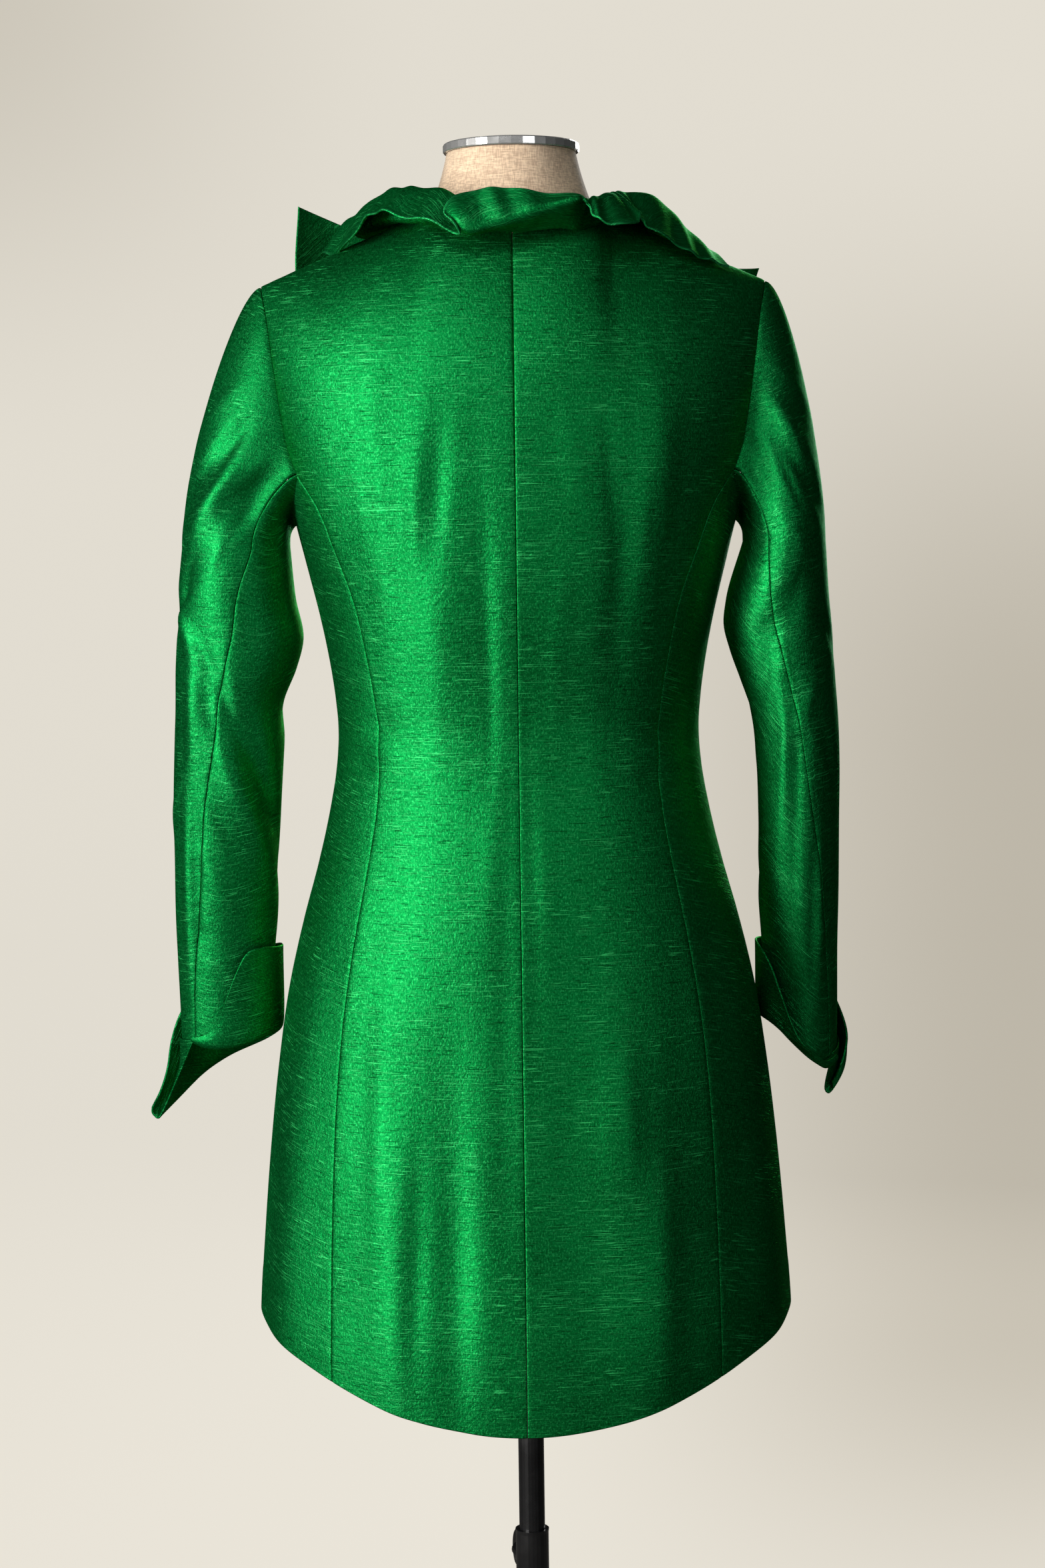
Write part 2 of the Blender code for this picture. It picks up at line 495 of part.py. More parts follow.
def finish(name, mesh, material, smooth_angle=40):
    """Turn the faces outward, shade the mesh and place it as one object."""
    work = bmesh.new()
    work.from_mesh(mesh)
    bmesh.ops.recalc_face_normals(work, faces=work.faces)
    if work.calc_volume(signed=True) < 0:
        bmesh.ops.reverse_faces(work, faces=work.faces)
    work.to_mesh(mesh)
    work.free()
    mesh.shade_smooth()
    mesh.set_sharp_from_angle(angle=math.radians(smooth_angle))
    mesh.materials.append(material)
    piece = bpy.data.objects.new(name, mesh)
    bpy.context.collection.objects.link(piece)
    return piece


def paint(name, colour, roughness, metallic=0.0):
    material = bpy.data.materials.new(name)
    material.use_nodes = True
    shader = material.node_tree.nodes["Principled BSDF"]
    shader.inputs["Base Color"].default_value = (*colour, 1)
    shader.inputs["Roughness"].default_value = roughness
    shader.inputs["Metallic"].default_value = metallic
    material.diffuse_color = (*colour, 1)
    return material


def on_form(points):
    return points + np.array([FORM_SHIFT, 0, 0])


def body_panel(name, turn, height, side, material, shoulder=0):
    """Build one body panel from its turns and heights."""
    turn = side * inset_columns(turn, height)
    outer, normal = torso(turn, height), torso_normal(turn, height)
    if shoulder:
        ridge = np.abs(outer[-1, :, 0]) >= NECK_X - 0.001
        outer[-1, ridge, 1] = crest(outer[-1, :, 0], shoulder < 0)[1][ridge] + shoulder * SEAM_GAP / 2
    inner = outer - CLOTH * normal
    sheet(name, on_form(outer), on_form(inner), material)


def build_body(silk):
    rows = np.linspace(0, 1, 15)
    upper_rows = np.linspace(0, 1, 8) ** 0.8
    for side, word in ((1, "left"), (-1, "right")):
        body_panel("back_" + word, *half_back(rows, upper_rows), side, silk(), shoulder=1)
        body_panel("side_back_" + word, *side_back(rows), side, silk())
        body_panel("front_" + word, *half_front(rows, upper_rows), side, silk(), shoulder=-1)


def build_form(linen):
    """The torso narrows to the armholes' plates, rounds over the shoulders and holds the neck."""
    t = form_columns()
    rings = []
    for height in np.linspace(FORM_FOOT_HEIGHT, 1.19, 11):
        width = smooth(FORM, "half_width", height)
        depth = np.where(np.cos(t) < 0, smooth(FORM, "front", height), smooth(FORM, "back", height))
        rings.append(np.stack([width * np.sin(t), depth * np.cos(t), np.full(len(t), height)], -1))
    rings += [chest_ring(t, s) for s in np.linspace(0, 1, 8) ** 0.8]
    mesh = bpy.data.meshes.new("dress_form")
    points, faces = np.array(rings), ring_faces(len(rings), len(t))[:-1]
    mesh.from_pydata([tuple(p) for p in on_form(points).reshape(-1, 3)], [], faces)
    add_neck(mesh)
    finish("dress_form", mesh, linen)


def form_columns():
    """Headings round the form, with one on each side of the neck where the shoulders start."""
    neck = math.asin((NECK_X - 2.5 * FORM_CREST_INSET) / (SHOULDER_X - 0.007))
    quarter = np.concatenate([np.linspace(0, neck, 5)[:-1], np.linspace(neck, math.pi / 2, 8)])
    half = np.concatenate([quarter, math.pi - quarter[-2::-1]])
    return np.concatenate([half[:-1], half[:-1] + math.pi])


def chest_ring(t, s):
    """One ring of the form above the blades: s is 1 on the shoulder's crest."""
    front = np.cos(t) < 0
    x = blend(0.1735, SHOULDER_X - 0.007, soft_step(s * 1.2)) * np.sin(t)
    top, top_y = crest(x, front, FORM_CREST_INSET)
    height = blend(BLADE_HEIGHT, top, s)
    half = smooth(BODY, "half_width", height) - FORM_INSET
    depth = np.where(front, smooth(BODY, "front", height), smooth(BODY, "back", height))
    close = (1 - np.abs(np.sin(t)) ** 10) ** 0.1
    y = (depth - FORM_INSET) * np.sqrt(np.clip(1 - (x / half) ** 2, 0, 1)) * close
    up = np.clip((height - CHEST_HEIGHT) / (top - CHEST_HEIGHT), 0.0, 1.0)
    side = np.clip(np.abs(x) / 0.12, 0.0, 1.0)
    over = (1 - up ** blend(2.4, 3.0, side)) ** (1 / blend(1.15, 1.7, side))
    return np.stack([x, top_y + (y * np.sign(np.cos(t)) - top_y) * over, height], -1)


def add_neck(mesh):
    """Join the shoulders' crest and carry the neck hole's edge up to a round neck."""
    work = bmesh.new()
    work.from_mesh(mesh)
    bmesh.ops.remove_doubles(work, verts=work.verts, dist=0.00002)
    feet = [v for v in work.verts if v.is_boundary]
    feet.sort(key=lambda v: math.atan2(v.co.x - FORM_SHIFT, v.co.y - NECK_Y))
    starts = [v.co.copy() for v in feet]
    ring = feet
    for rise in (0.3, 0.65, 1.0):
        above = [work.verts.new(foot.lerp(neck_rim(foot), rise)) for foot in starts]
        for k in range(len(ring)):
            work.faces.new((ring[k - 1], ring[k], above[k], above[k - 1]))
        ring = above
    work.faces.new(ring)
    work.to_mesh(mesh)
    work.free()


def neck_rim(foot):
    """The point of the neck's top edge that faces the same way as this foot."""
    heading = math.atan2(foot.x - FORM_SHIFT, foot.y - NECK_Y)
    return Vector((FORM_SHIFT + NECK_RADIUS * math.sin(heading),
                   NECK_RADIUS * math.cos(heading) + 0.004, NECK_TOP))


def armhole_points(side, upper_rows):
    """Points, cloth directions and outward pulls round one armhole, from the shoulder by the back."""
    down = blend(BLADE_HEIGHT, SHOULDER_HEIGHT, upper_rows[::-1])
    back_turn = turn_at(smooth(BACK_ARMHOLE, "out", down), down)
    u = np.linspace(0, 1, 8)[1:]
    low = blend(BLADE_HEIGHT, UNDERARM_HEIGHT, np.sin(u * math.pi / 2) ** 0.8)
    low_turn = blend(back_turn[-1], SIDE_SEAM_TURN, u)
    up = np.append(ARMHOLE_STEP, blend(BLADE_HEIGHT, SHOULDER_HEIGHT, upper_rows[:-1]))
    front_turn = turn_at(smooth(FRONT_ARMHOLE, "out", up), up, front=True)
    turn = side * np.concatenate([back_turn, low_turn, front_turn])
    height = np.concatenate([down, low, up])
    points, normals = torso(turn, height), torso_normal(turn, height)
    along = np.roll(points, -1, 0) - np.roll(points, 1, 0)
    pull = unit(np.cross(normals, along))
    pull = pull * np.sign(pull @ np.array([side, 0.0, 1.0]))[:, None]
    return points + pull * SEAM_GAP * 1.2, normals


def sleeve_tube(side, turn, height, tab, creases):
    """A point of the sleeve: an ellipse at each height, with its creases."""
    a = np.radians(turn)
    across, along = smooth(tab, "across", height), smooth(tab, "along", height)
    x = across + smooth(tab, "half_across", height) * np.cos(a)
    y = along + smooth(tab, "half_along", height) * np.sin(a)
    lift = crease_lift(creases, turn % 360, height)
    return np.stack([side * (x + lift * np.cos(a)), y + lift * np.sin(a), height + 0 * x], -1)


def crease_lift(tab, turn, height):
    """Soft creases across the sleeve: lean is the change of height for each degree."""
    lift = np.zeros(np.broadcast(turn, height).shape)
    for k in range(len(tab["turn"])):
        away = (turn - tab["turn"][k] + 180) % 360 - 180
        centre = tab["height"][k] + tab["lean"][k] * away
        lift += tab["depth"][k] * np.exp(-(away / tab["wide"][k]) ** 2
                                         - ((height - centre) / tab["tall"][k]) ** 2)
    return lift


def sleeve_grid(side, upper_rows, tab, creases, elbow, cuff):
    """Outer points and cloth directions of a whole sleeve, from the armhole to its hem."""
    head, head_normals = armhole_points(side, upper_rows)
    count = len(head)
    heights = np.linspace(SLEEVE_HEAD_FOOT, 0.79, 16)
    share = np.linspace(0, 1, 16)
    rings = []
    for k, height in enumerate(heights):
        seam = smooth(elbow, "turn", height)
        turn = np.interp(np.arange(count), [0, ELBOW_COLUMN, FRONT_COLUMN, count],
                         [0.0, seam, FRONT_SEAM_TURN, 360.0])
        foot = smooth(cuff, "hem", np.where(turn < cuff["turn"][0], turn + 360, turn))
        level = blend(SLEEVE_HEAD_FOOT, foot, share[k])
        rings.append(sleeve_tube(side, turn, level, tab, creases))
    bicep = rings[0]
    turn = np.radians(np.interp(np.arange(count), [0, ELBOW_COLUMN, FRONT_COLUMN, count],
                                [0.0, smooth(elbow, "turn", SLEEVE_HEAD_FOOT), FRONT_SEAM_TURN, 360.0]))
    drop = head[:, 2] - bicep[:, 2]
    leave = np.stack([side * np.ones(count), 0.35 * np.sin(turn), -0.1 * np.ones(count)], -1)
    leave = unit(leave) * (0.012 + 0.22 * drop)[:, None]
    arrive = np.stack([0 * turn, 0 * turn, -(0.010 + 0.9 * drop)], -1)
    cap = []
    for t in (0.0, 0.10, 0.24, 0.42, 0.62, 0.82):
        point = (head * (1 + 2 * t) * (1 - t) ** 2 + leave * t * (1 - t) ** 2
                 + bicep * t * t * (3 - 2 * t) - arrive * t * t * (1 - t))
        lift = soft_step(t / 0.5) * crease_lift(creases, np.degrees(turn), point[:, 2])
        cap.append(point + lift[:, None] * np.stack([side * np.cos(turn), np.sin(turn), 0 * turn], -1))
    grid = np.array(cap + rings)
    down = np.gradient(grid, axis=0)
    around = np.roll(grid, -1, 1) - np.roll(grid, 1, 1)
    normals = unit(np.cross(down, around) * side)
    normals[0] = head_normals
    normals[1] = unit(normals[1] + 0.5 * head_normals)
    return grid, normals


def sleeve_panel(name, grid, normals, columns, material):
    """Cut some columns out of the sleeve and draw their edges in by half the seam's gap."""
    outer, normal = grid[:, columns].copy(), normals[:, columns]
    outer[:, 0] += unit(outer[:, 1] - outer[:, 0]) * SEAM_GAP / 2
    outer[:, -1] += unit(outer[:, -2] - outer[:, -1]) * SEAM_GAP / 2
    sheet(name, on_form(outer), on_form(outer - CLOTH * normal), material)


def build_sleeves(silk):
    upper_rows = np.linspace(0, 1, 8) ** 0.8
    for side, word, tab, creases, elbow, cuff in (
            (1, "left", LEFT_SLEEVE, LEFT_CREASES, LEFT_ELBOW, LEFT_CUFF),
            (-1, "right", RIGHT_SLEEVE, RIGHT_CREASES, RIGHT_ELBOW, RIGHT_CUFF)):
        grid, normals = sleeve_grid(side, upper_rows, tab, creases, elbow, cuff)
        count = grid.shape[1]
        under = np.arange(ELBOW_COLUMN, FRONT_COLUMN + 1)
        upper = np.arange(FRONT_COLUMN, count + ELBOW_COLUMN + 1) % count
        sleeve_panel("upper_sleeve_" + word, grid, normals, upper, silk())
        sleeve_panel("under_sleeve_" + word, grid, normals, under, silk())
        build_cuff("cuff_" + word, side, tab, cuff, silk())


def build_cuff(name, side, tab, cuff, material):
    """The turned-back cuff: at each station a curve from the hem down to the fold and up."""
    stations = np.arange(len(cuff["turn"]), dtype=float)
    at = np.linspace(0, stations[-1], CUFF_STATIONS)
    read = {key: smooth({"station": stations, key: cuff[key]}, key, at) for key in cuff}
    start = round_sleeve(side, tab, read["turn"], CLOTH / 2 + CUFF_GAP, read["hem"])
    fold = round_sleeve(side, tab, read["fold_turn"], read["fold_out"], read["fold_height"])
    edge = round_sleeve(side, tab, read["edge_turn"], read["edge_out"], read["edge_height"])
    a = np.radians(read["fold_turn"])
    out = np.stack([side * np.cos(a), np.sin(a), 0 * a], -1) * read["roll"][:, None]
    sag = np.array([0, 0, -0.8]) * read["roll"][:, None]
    path = np.stack([start, fold, fold + out + sag, fold + 2 * out, edge])
    line = {"share": np.array([0.0, 0.32, 0.42, 0.52, 1.0])}
    share = np.array([0.0, 0.18, 0.32, 0.42, 0.52, 0.67, 0.83, 1.0])
    grid = np.empty((len(at), len(share), 3))
    for k in range(3):
        for j in range(len(at)):
            grid[j, :, k] = smooth({**line, "point": path[:, j, k]}, "point", share)
    normal = unit(np.cross(np.gradient(grid, axis=0), np.gradient(grid, axis=1)) * side)
    sheet(name, on_form(grid + normal * CLOTH / 2), on_form(grid - normal * CLOTH / 2), material)


def round_sleeve(side, tab, turn, out, height):
    """A point this far out from the sleeve's ellipse, without its creases."""
    a = np.radians(turn)
    x = smooth(tab, "across", height) + (smooth(tab, "half_across", height) + out) * np.cos(a)
    y = smooth(tab, "along", height) + (smooth(tab, "half_along", height) + out) * np.sin(a)
    return np.stack([side * x, y, height], -1)


def build_collar(silk):
    """The ruffle: a curve from the neck seam over a ridge to the free edge at each station."""
    stations = np.arange(len(COLLAR["seam"]), dtype=float)
    at = np.linspace(0, stations[-1], 67)
    line = dict(COLLAR, station=stations)
    read = {key: smooth({"station": stations, key: line[key]}, key, at) for key in COLLAR}
    seam = neck_seam(read["seam"])
    ridge = np.stack([read["ridge_x"], read["ridge_y"], read["ridge_z"]], -1)
    edge = np.stack([read["edge_x"], read["edge_y"], read["edge_z"]], -1)
    pull = 2 * ridge - (seam + edge) / 2
    s = np.linspace(0, 1, 8)[None, :, None]
    outer = (seam[:, None] * (1 - s) ** 2 + 2 * pull[:, None] * s * (1 - s) + edge[:, None] * s ** 2)
    normal = unit(np.cross(np.gradient(outer, axis=1), np.gradient(outer, axis=0)))
    flat = unit(normal[:, 0] * np.array([1, 1, 0]))
    normal[:, 0] = flat
    sheet("collar", on_form(outer), on_form(outer - RUFFLE * normal), silk)


def neck_seam(q):
    """q is 0 at centre back, 1 at the left neck point and 2 a little down the front edge."""
    side = np.where(q < 0, -1.0, 1.0)
    x = NECK_X * np.sin(np.clip(np.abs(q), 0, 1) * math.pi / 2)
    height, y = crest(x, False)
    down = NECK_HEIGHT - 0.1 * np.clip(np.abs(q) - 1, 0, 1)
    turn = turn_at(smooth(NECKLINE, "out", down), down, front=True)
    front = torso(turn, down, folded=False)
    over = np.abs(q) > 1
    return np.stack([side * np.where(over, front[:, 0], x), np.where(over, front[:, 1], y),
                     np.where(over, down, height) + 0.0009], -1)


def build_lapel(name, side, tab, material):
    """A pointed flap turned back along the neckline, its tip standing over the shoulder."""
    v = np.linspace(0, 1, 15)
    fold_height = blend(BREAK_HEIGHT + 0.004, 1.424, v)
    fold_x = smooth(NECKLINE, "out", fold_height) + 0.0012
    out_x, out_z = smooth(tab, "out", v), smooth(tab, "height", v)
    u = np.linspace(0, 1, 9)[None, :]
    x = blend(fold_x[:, None], out_x[:, None], u)
    z = blend(fold_height[:, None], out_z[:, None], u)
    level = np.minimum(z, 1.335) - 0.012 * soft_step((z - 1.30) / 0.1)
    turn = turn_at(x, level, front=True)
    panel_y = torso(turn, level)[..., 1]
    lift = smooth(tab, "lift", v)[:, None] * np.sin(u * math.pi / 2) + 0.0009 + CLOTH
    outer = np.stack([side * x, panel_y - lift, z], -1)
    normal = unit(np.cross(np.gradient(outer, axis=1), np.gradient(outer, axis=0)) * side)
    sheet(name, on_form(outer), on_form(outer - CLOTH * normal), material)


def build_stand():
    black = paint("satin black steel", (0.012, 0.012, 0.013), 0.35, 0.6)
    gloss = paint("gloss black steel", (0.008, 0.008, 0.009), 0.18, 0.4)
    chrome = paint("bright plated steel", (0.62, 0.62, 0.63), 0.12, 1.0)
    turned("base_plate", [(0, 0), (FOOT_RADIUS - 0.002, 0), (FOOT_RADIUS, 0.002),
                          (FOOT_RADIUS, FOOT_THICKNESS - 0.002),
                          (FOOT_RADIUS - 0.002, FOOT_THICKNESS), (0, FOOT_THICKNESS)], gloss, 40)
    turned("neck_cap", [(0, NECK_TOP + 0.0003), (CAP_RADIUS - 0.0006, NECK_TOP + 0.0003),
                        (CAP_RADIUS, NECK_TOP + 0.0010), (CAP_RADIUS, CAP_TOP - 0.0010),
                        (CAP_RADIUS - 0.0010, CAP_TOP), (CAP_RADIUS - 0.0025, CAP_TOP),
                        (CAP_RADIUS - 0.0035, CAP_TOP - 0.0030), (0, CAP_TOP - 0.0030)],
           chrome, 36, (FORM_SHIFT, 0.004, 0))
    turned("pole", [(0, POLE_FOOT), (POLE_RADIUS, POLE_FOOT),
                    (POLE_RADIUS, FORM_FOOT_HEIGHT - 0.0003), (0, FORM_FOOT_HEIGHT - 0.0003)],
           black, 24)
    build_outer_tube(gloss)
    build_screw(chrome)


def build_outer_tube(material):
    """The tube, its bore and the boss that the clamp screw passes through."""
    foot = FOOT_THICKNESS + 0.0003
    tube = turned("outer_tube", [(0, foot), (0.024, foot), (0.024, foot + 0.004),
                                 (TUBE_RADIUS, foot + 0.012), (TUBE_RADIUS, TUBE_RIM - 0.003),
                                 (TUBE_RADIUS + 0.0004, TUBE_RIM), (0, TUBE_RIM)], material, 24)
    boss = across_rod("boss", BOSS_RADIUS, TUBE_BORE + 0.0008, BOSS_REACH, material)
    bore = turned("bore", [(0, foot + 0.006), (TUBE_BORE, foot + 0.006),
                           (TUBE_BORE, TUBE_RIM + 0.01), (0, TUBE_RIM + 0.01)], material, 24)
    hole = across_rod("hole", SCREW_RADIUS + 0.0003, 0.004, BOSS_REACH + 0.01, material)
    for cutter, action in ((boss, "UNION"), (bore, "DIFFERENCE"), (hole, "DIFFERENCE")):
        cut = tube.modifiers.new(cutter.name, "BOOLEAN")
        cut.object, cut.operation, cut.solver = cutter, action, "EXACT"
        cutter.hide_render, cutter.display_type = True, "WIRE"


def across_rod(name, radius, start, end, material, sides=16):
    """A rod that runs outward from the pole's axis along the screw's heading."""
    rod = turned(name, [(0, start), (radius, start), (radius, end), (0, end)], material, sides)
    rod.matrix_world = screw_frame()
    return rod


def screw_frame():
    """Local +Z runs outward along the clamp screw."""
    heading = Matrix.Rotation(math.radians(SCREW_HEADING), 4, "Z")
    return Matrix.Translation((0, 0, SCREW_HEIGHT)) @ heading @ Matrix.Rotation(math.pi / 2, 4, "X")


def build_screw(material):
    """The wing screw: a shank with a round head, and one rounded plate for both wings."""
    tip, seat = POLE_RADIUS + 0.0003, BOSS_REACH + 0.0006
    outline = [(0, tip), (SCREW_RADIUS, tip), (SCREW_RADIUS, seat), (0.0060, seat), (0.0065, seat + 0.0008),
               (0.0062, seat + 0.0095), (0.0050, seat + 0.0110), (0, seat + 0.0114)]
    screw = turned("clamp_screw", outline, material, 20)
    screw.matrix_world = screw_frame()
    wing = turned("screw_wing", [(0, -0.0014), (0.0080, -0.0014), (0.0092, 0), (0.0080, 0.0014),
                                 (0, 0.0014)], material, 26)
    wing.data.transform(Matrix.Diagonal((1.0, 1.75, 1.0, 1.0)))
    wing.matrix_world = (screw_frame() @ Matrix.Translation((0, 0, seat + 0.0126))
                         @ Matrix.Rotation(math.pi / 2, 4, "Y"))
    join(screw, wing)


def join(body, tool):
    union = body.modifiers.new(tool.name, "BOOLEAN")
    union.object, union.operation, union.solver = tool, "UNION", "EXACT"
    tool.hide_render, tool.display_type = True, "WIRE"


def turned(name, outline, material, sides=48, location=(0, 0, 0)):
    """Turn an open outline whose two ends lie on the axis."""
    work = bmesh.new()
    points = [work.verts.new((r, 0, z)) for r, z in outline]
    edges = [work.edges.new(pair) for pair in zip(points, points[1:])]
    bmesh.ops.spin(work, geom=points + edges, cent=(0, 0, 0), axis=(0, 0, 1),
                   angle=2 * math.pi, steps=sides, use_merge=True)
    bmesh.ops.remove_doubles(work, verts=work.verts, dist=0.00001)
    mesh = bpy.data.meshes.new(name)
    work.to_mesh(mesh)
    work.free()
    piece = finish(name, mesh, material)
    piece.location = location
    return piece


def main():
    for item in list(bpy.data.objects):
        bpy.data.objects.remove(item, do_unlink=True)

    def silk():
        return paint("emerald silk", (0.010, 0.330, 0.090), 0.38)

    build_body(silk)
    build_sleeves(silk)
    build_collar(silk())
    build_lapel("lapel_left", 1, LEFT_LAPEL, silk())
    build_lapel("lapel_right", -1, RIGHT_LAPEL, silk())
    build_form(paint("natural linen", (0.560, 0.470, 0.360), 0.85))
    build_stand()


main()
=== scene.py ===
import math

import bmesh
import bpy
import numpy as np
from mathutils import Matrix, Vector


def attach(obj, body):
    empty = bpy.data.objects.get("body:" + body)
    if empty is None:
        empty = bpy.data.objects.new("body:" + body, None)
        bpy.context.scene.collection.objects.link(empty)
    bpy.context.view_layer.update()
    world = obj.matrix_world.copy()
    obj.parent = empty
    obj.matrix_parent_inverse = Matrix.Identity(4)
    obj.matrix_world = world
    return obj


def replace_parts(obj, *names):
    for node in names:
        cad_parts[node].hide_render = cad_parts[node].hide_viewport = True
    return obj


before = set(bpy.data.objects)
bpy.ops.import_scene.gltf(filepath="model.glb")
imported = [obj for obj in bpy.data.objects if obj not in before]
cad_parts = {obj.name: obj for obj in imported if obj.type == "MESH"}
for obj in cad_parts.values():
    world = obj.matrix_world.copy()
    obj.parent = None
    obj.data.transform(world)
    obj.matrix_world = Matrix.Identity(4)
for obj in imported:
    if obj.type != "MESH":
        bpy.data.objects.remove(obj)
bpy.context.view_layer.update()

print("frame loaded")

# Metres, +Z up. A turn is an angle round the body in degrees: 0 at centre back, 90 at the
# wearer's left side, 180 at centre front. Round a sleeve it starts on the outer side.


# tables that give the shapes their sizes

def table(columns, rows):
    # one array for each named column
    return dict(zip(columns.split(), np.array(rows, float).T))


cloth = {"wall": 0.0016, "seamGap": 0.0003, "formShift": 0.0025, "step": 0.0036, "allowance": 0.03,
         "areaShare": 1.06, "hemTurn": 0.03, "hemRidge": 0.0022, "rimShare": 0.2, "rimStart": 0.3,
         "puckerWave": 0.0031, "puckerDrift": 0.019, "puckerReach": 0.008, "seamDip": 0.0016,
         "threadRow": 0.0012, "threadWidth": 0.001, "overlockWidth": 0.0019}

shape = {
    "underarm": 1.207, "armholeStep": 1.222, "blade": 1.245, "chest": 1.240,
    "shoulderX": 0.197, "shoulder": 1.394, "neckX": 0.072, "neck": 1.446,
    "napeDrop": 0.018, "throatDrop": 0.055, "neckY": 0.012, "napeReach": 0.053, "throatReach": 0.066,
    "sideSeam": 97.0, "sideHem": 0.587, "hemDrop": 0.0655, "frontRise": 0.055,
    "break": 1.085, "topLevel": 1.42, "seamLevel": 0.54,
}

# widths and depths of the body, to the outside of the cloth
bodyTable = table("height half_width back front", [
    (0.5, 0.2115, 0.166, 0.148), (0.587, 0.2115, 0.165, 0.148), (0.645, 0.2075, 0.158, 0.146),
    (0.72, 0.201, 0.149, 0.141), (0.78, 0.1942, 0.141, 0.136), (0.845, 0.1842, 0.132, 0.129),
    (0.9, 0.1712, 0.124, 0.122), (0.94, 0.16, 0.117, 0.116), (0.98, 0.1505, 0.11, 0.11),
    (1.02, 0.1437, 0.106, 0.107), (1.045, 0.1422, 0.105, 0.106), (1.075, 0.1445, 0.107, 0.108),
    (1.105, 0.149, 0.111, 0.112), (1.135, 0.155, 0.115, 0.118), (1.17, 0.1635, 0.118, 0.124),
    (1.21, 0.1735, 0.12, 0.127), (1.25, 0.184, 0.12, 0.124), (1.3, 0.195, 0.119, 0.116),
    (1.35, 0.202, 0.117, 0.108), (1.385, 0.2035, 0.115, 0.102), (1.46, 0.2035, 0.113, 0.098),
])

formTable = table("height half_width back front", [
    (0.7, 0.156, 0.112, 0.102), (0.76, 0.164, 0.118, 0.106), (0.83, 0.168, 0.119, 0.108),
    (0.9, 0.16, 0.114, 0.107), (0.96, 0.147, 0.105, 0.104), (1.02, 0.139, 0.101, 0.102),
    (1.075, 0.1405, 0.103, 0.104), (1.135, 0.151, 0.111, 0.114), (1.21, 0.17, 0.117, 0.124),
])

# how far each lengthwise seam lies from the middle of the body
princess = table("height out", [
    (0.5, 0.149), (0.58, 0.1488), (0.71, 0.1455), (0.765, 0.1425), (0.83, 0.1358), (0.885, 0.1275),
    (0.95, 0.1155), (0.985, 0.1098), (1.01, 0.1078), (1.04, 0.1078), (1.08, 0.1115), (1.105, 0.116),
    (1.145, 0.1245), (1.185, 0.139), (1.22, 0.153), (1.245, 0.169),
])
backArmhole = table("height out", [
    (1.245, 0.169), (1.262, 0.1755), (1.285, 0.18), (1.33, 0.1865), (1.362, 0.1912), (1.394, 0.197),
])
frontArmhole = table("height out", [
    (1.207, 0.1715), (1.222, 0.166), (1.25, 0.162), (1.29, 0.164), (1.335, 0.174), (1.365, 0.185),
    (1.394, 0.197),
])
neckline = table("height out", [
    (1.085, 0.0004), (1.13, 0.012), (1.207, 0.032), (1.3, 0.053), (1.38, 0.0665), (1.446, 0.072),
])

# soft folds that run down the body: depth is outward, lean is degrees a metre
bodyFolds = table("turn height wide tall depth lean", [
    (28, 0.64, 7, 0.16, 0.004, 10), (17, 0.66, 5, 0.13, -0.0025, 5), (-26, 0.64, 8, 0.15, 0.0035, -12),
    (-14, 0.66, 6, 0.12, -0.0025, 0), (62, 0.64, 9, 0.17, 0.0035, 0), (-64, 0.64, 9, 0.17, 0.0035, 0),
    (125, 0.66, 9, 0.17, 0.004, 0), (-125, 0.66, 9, 0.17, 0.004, 0), (152, 0.65, 7, 0.15, -0.0025, 0),
    (-152, 0.65, 7, 0.15, -0.0025, 0), (24, 1.13, 6, 0.11, 0.0022, -30), (10, 1.15, 5, 0.11, -0.0018, -20),
    (-20, 1.14, 7, 0.12, 0.002, 25), (-38, 1.23, 5, 0.09, 0.0022, 10), (-29, 1.2, 4, 0.08, -0.0016, 10),
    (38, 1.21, 5, 0.09, 0.002, -20),
])

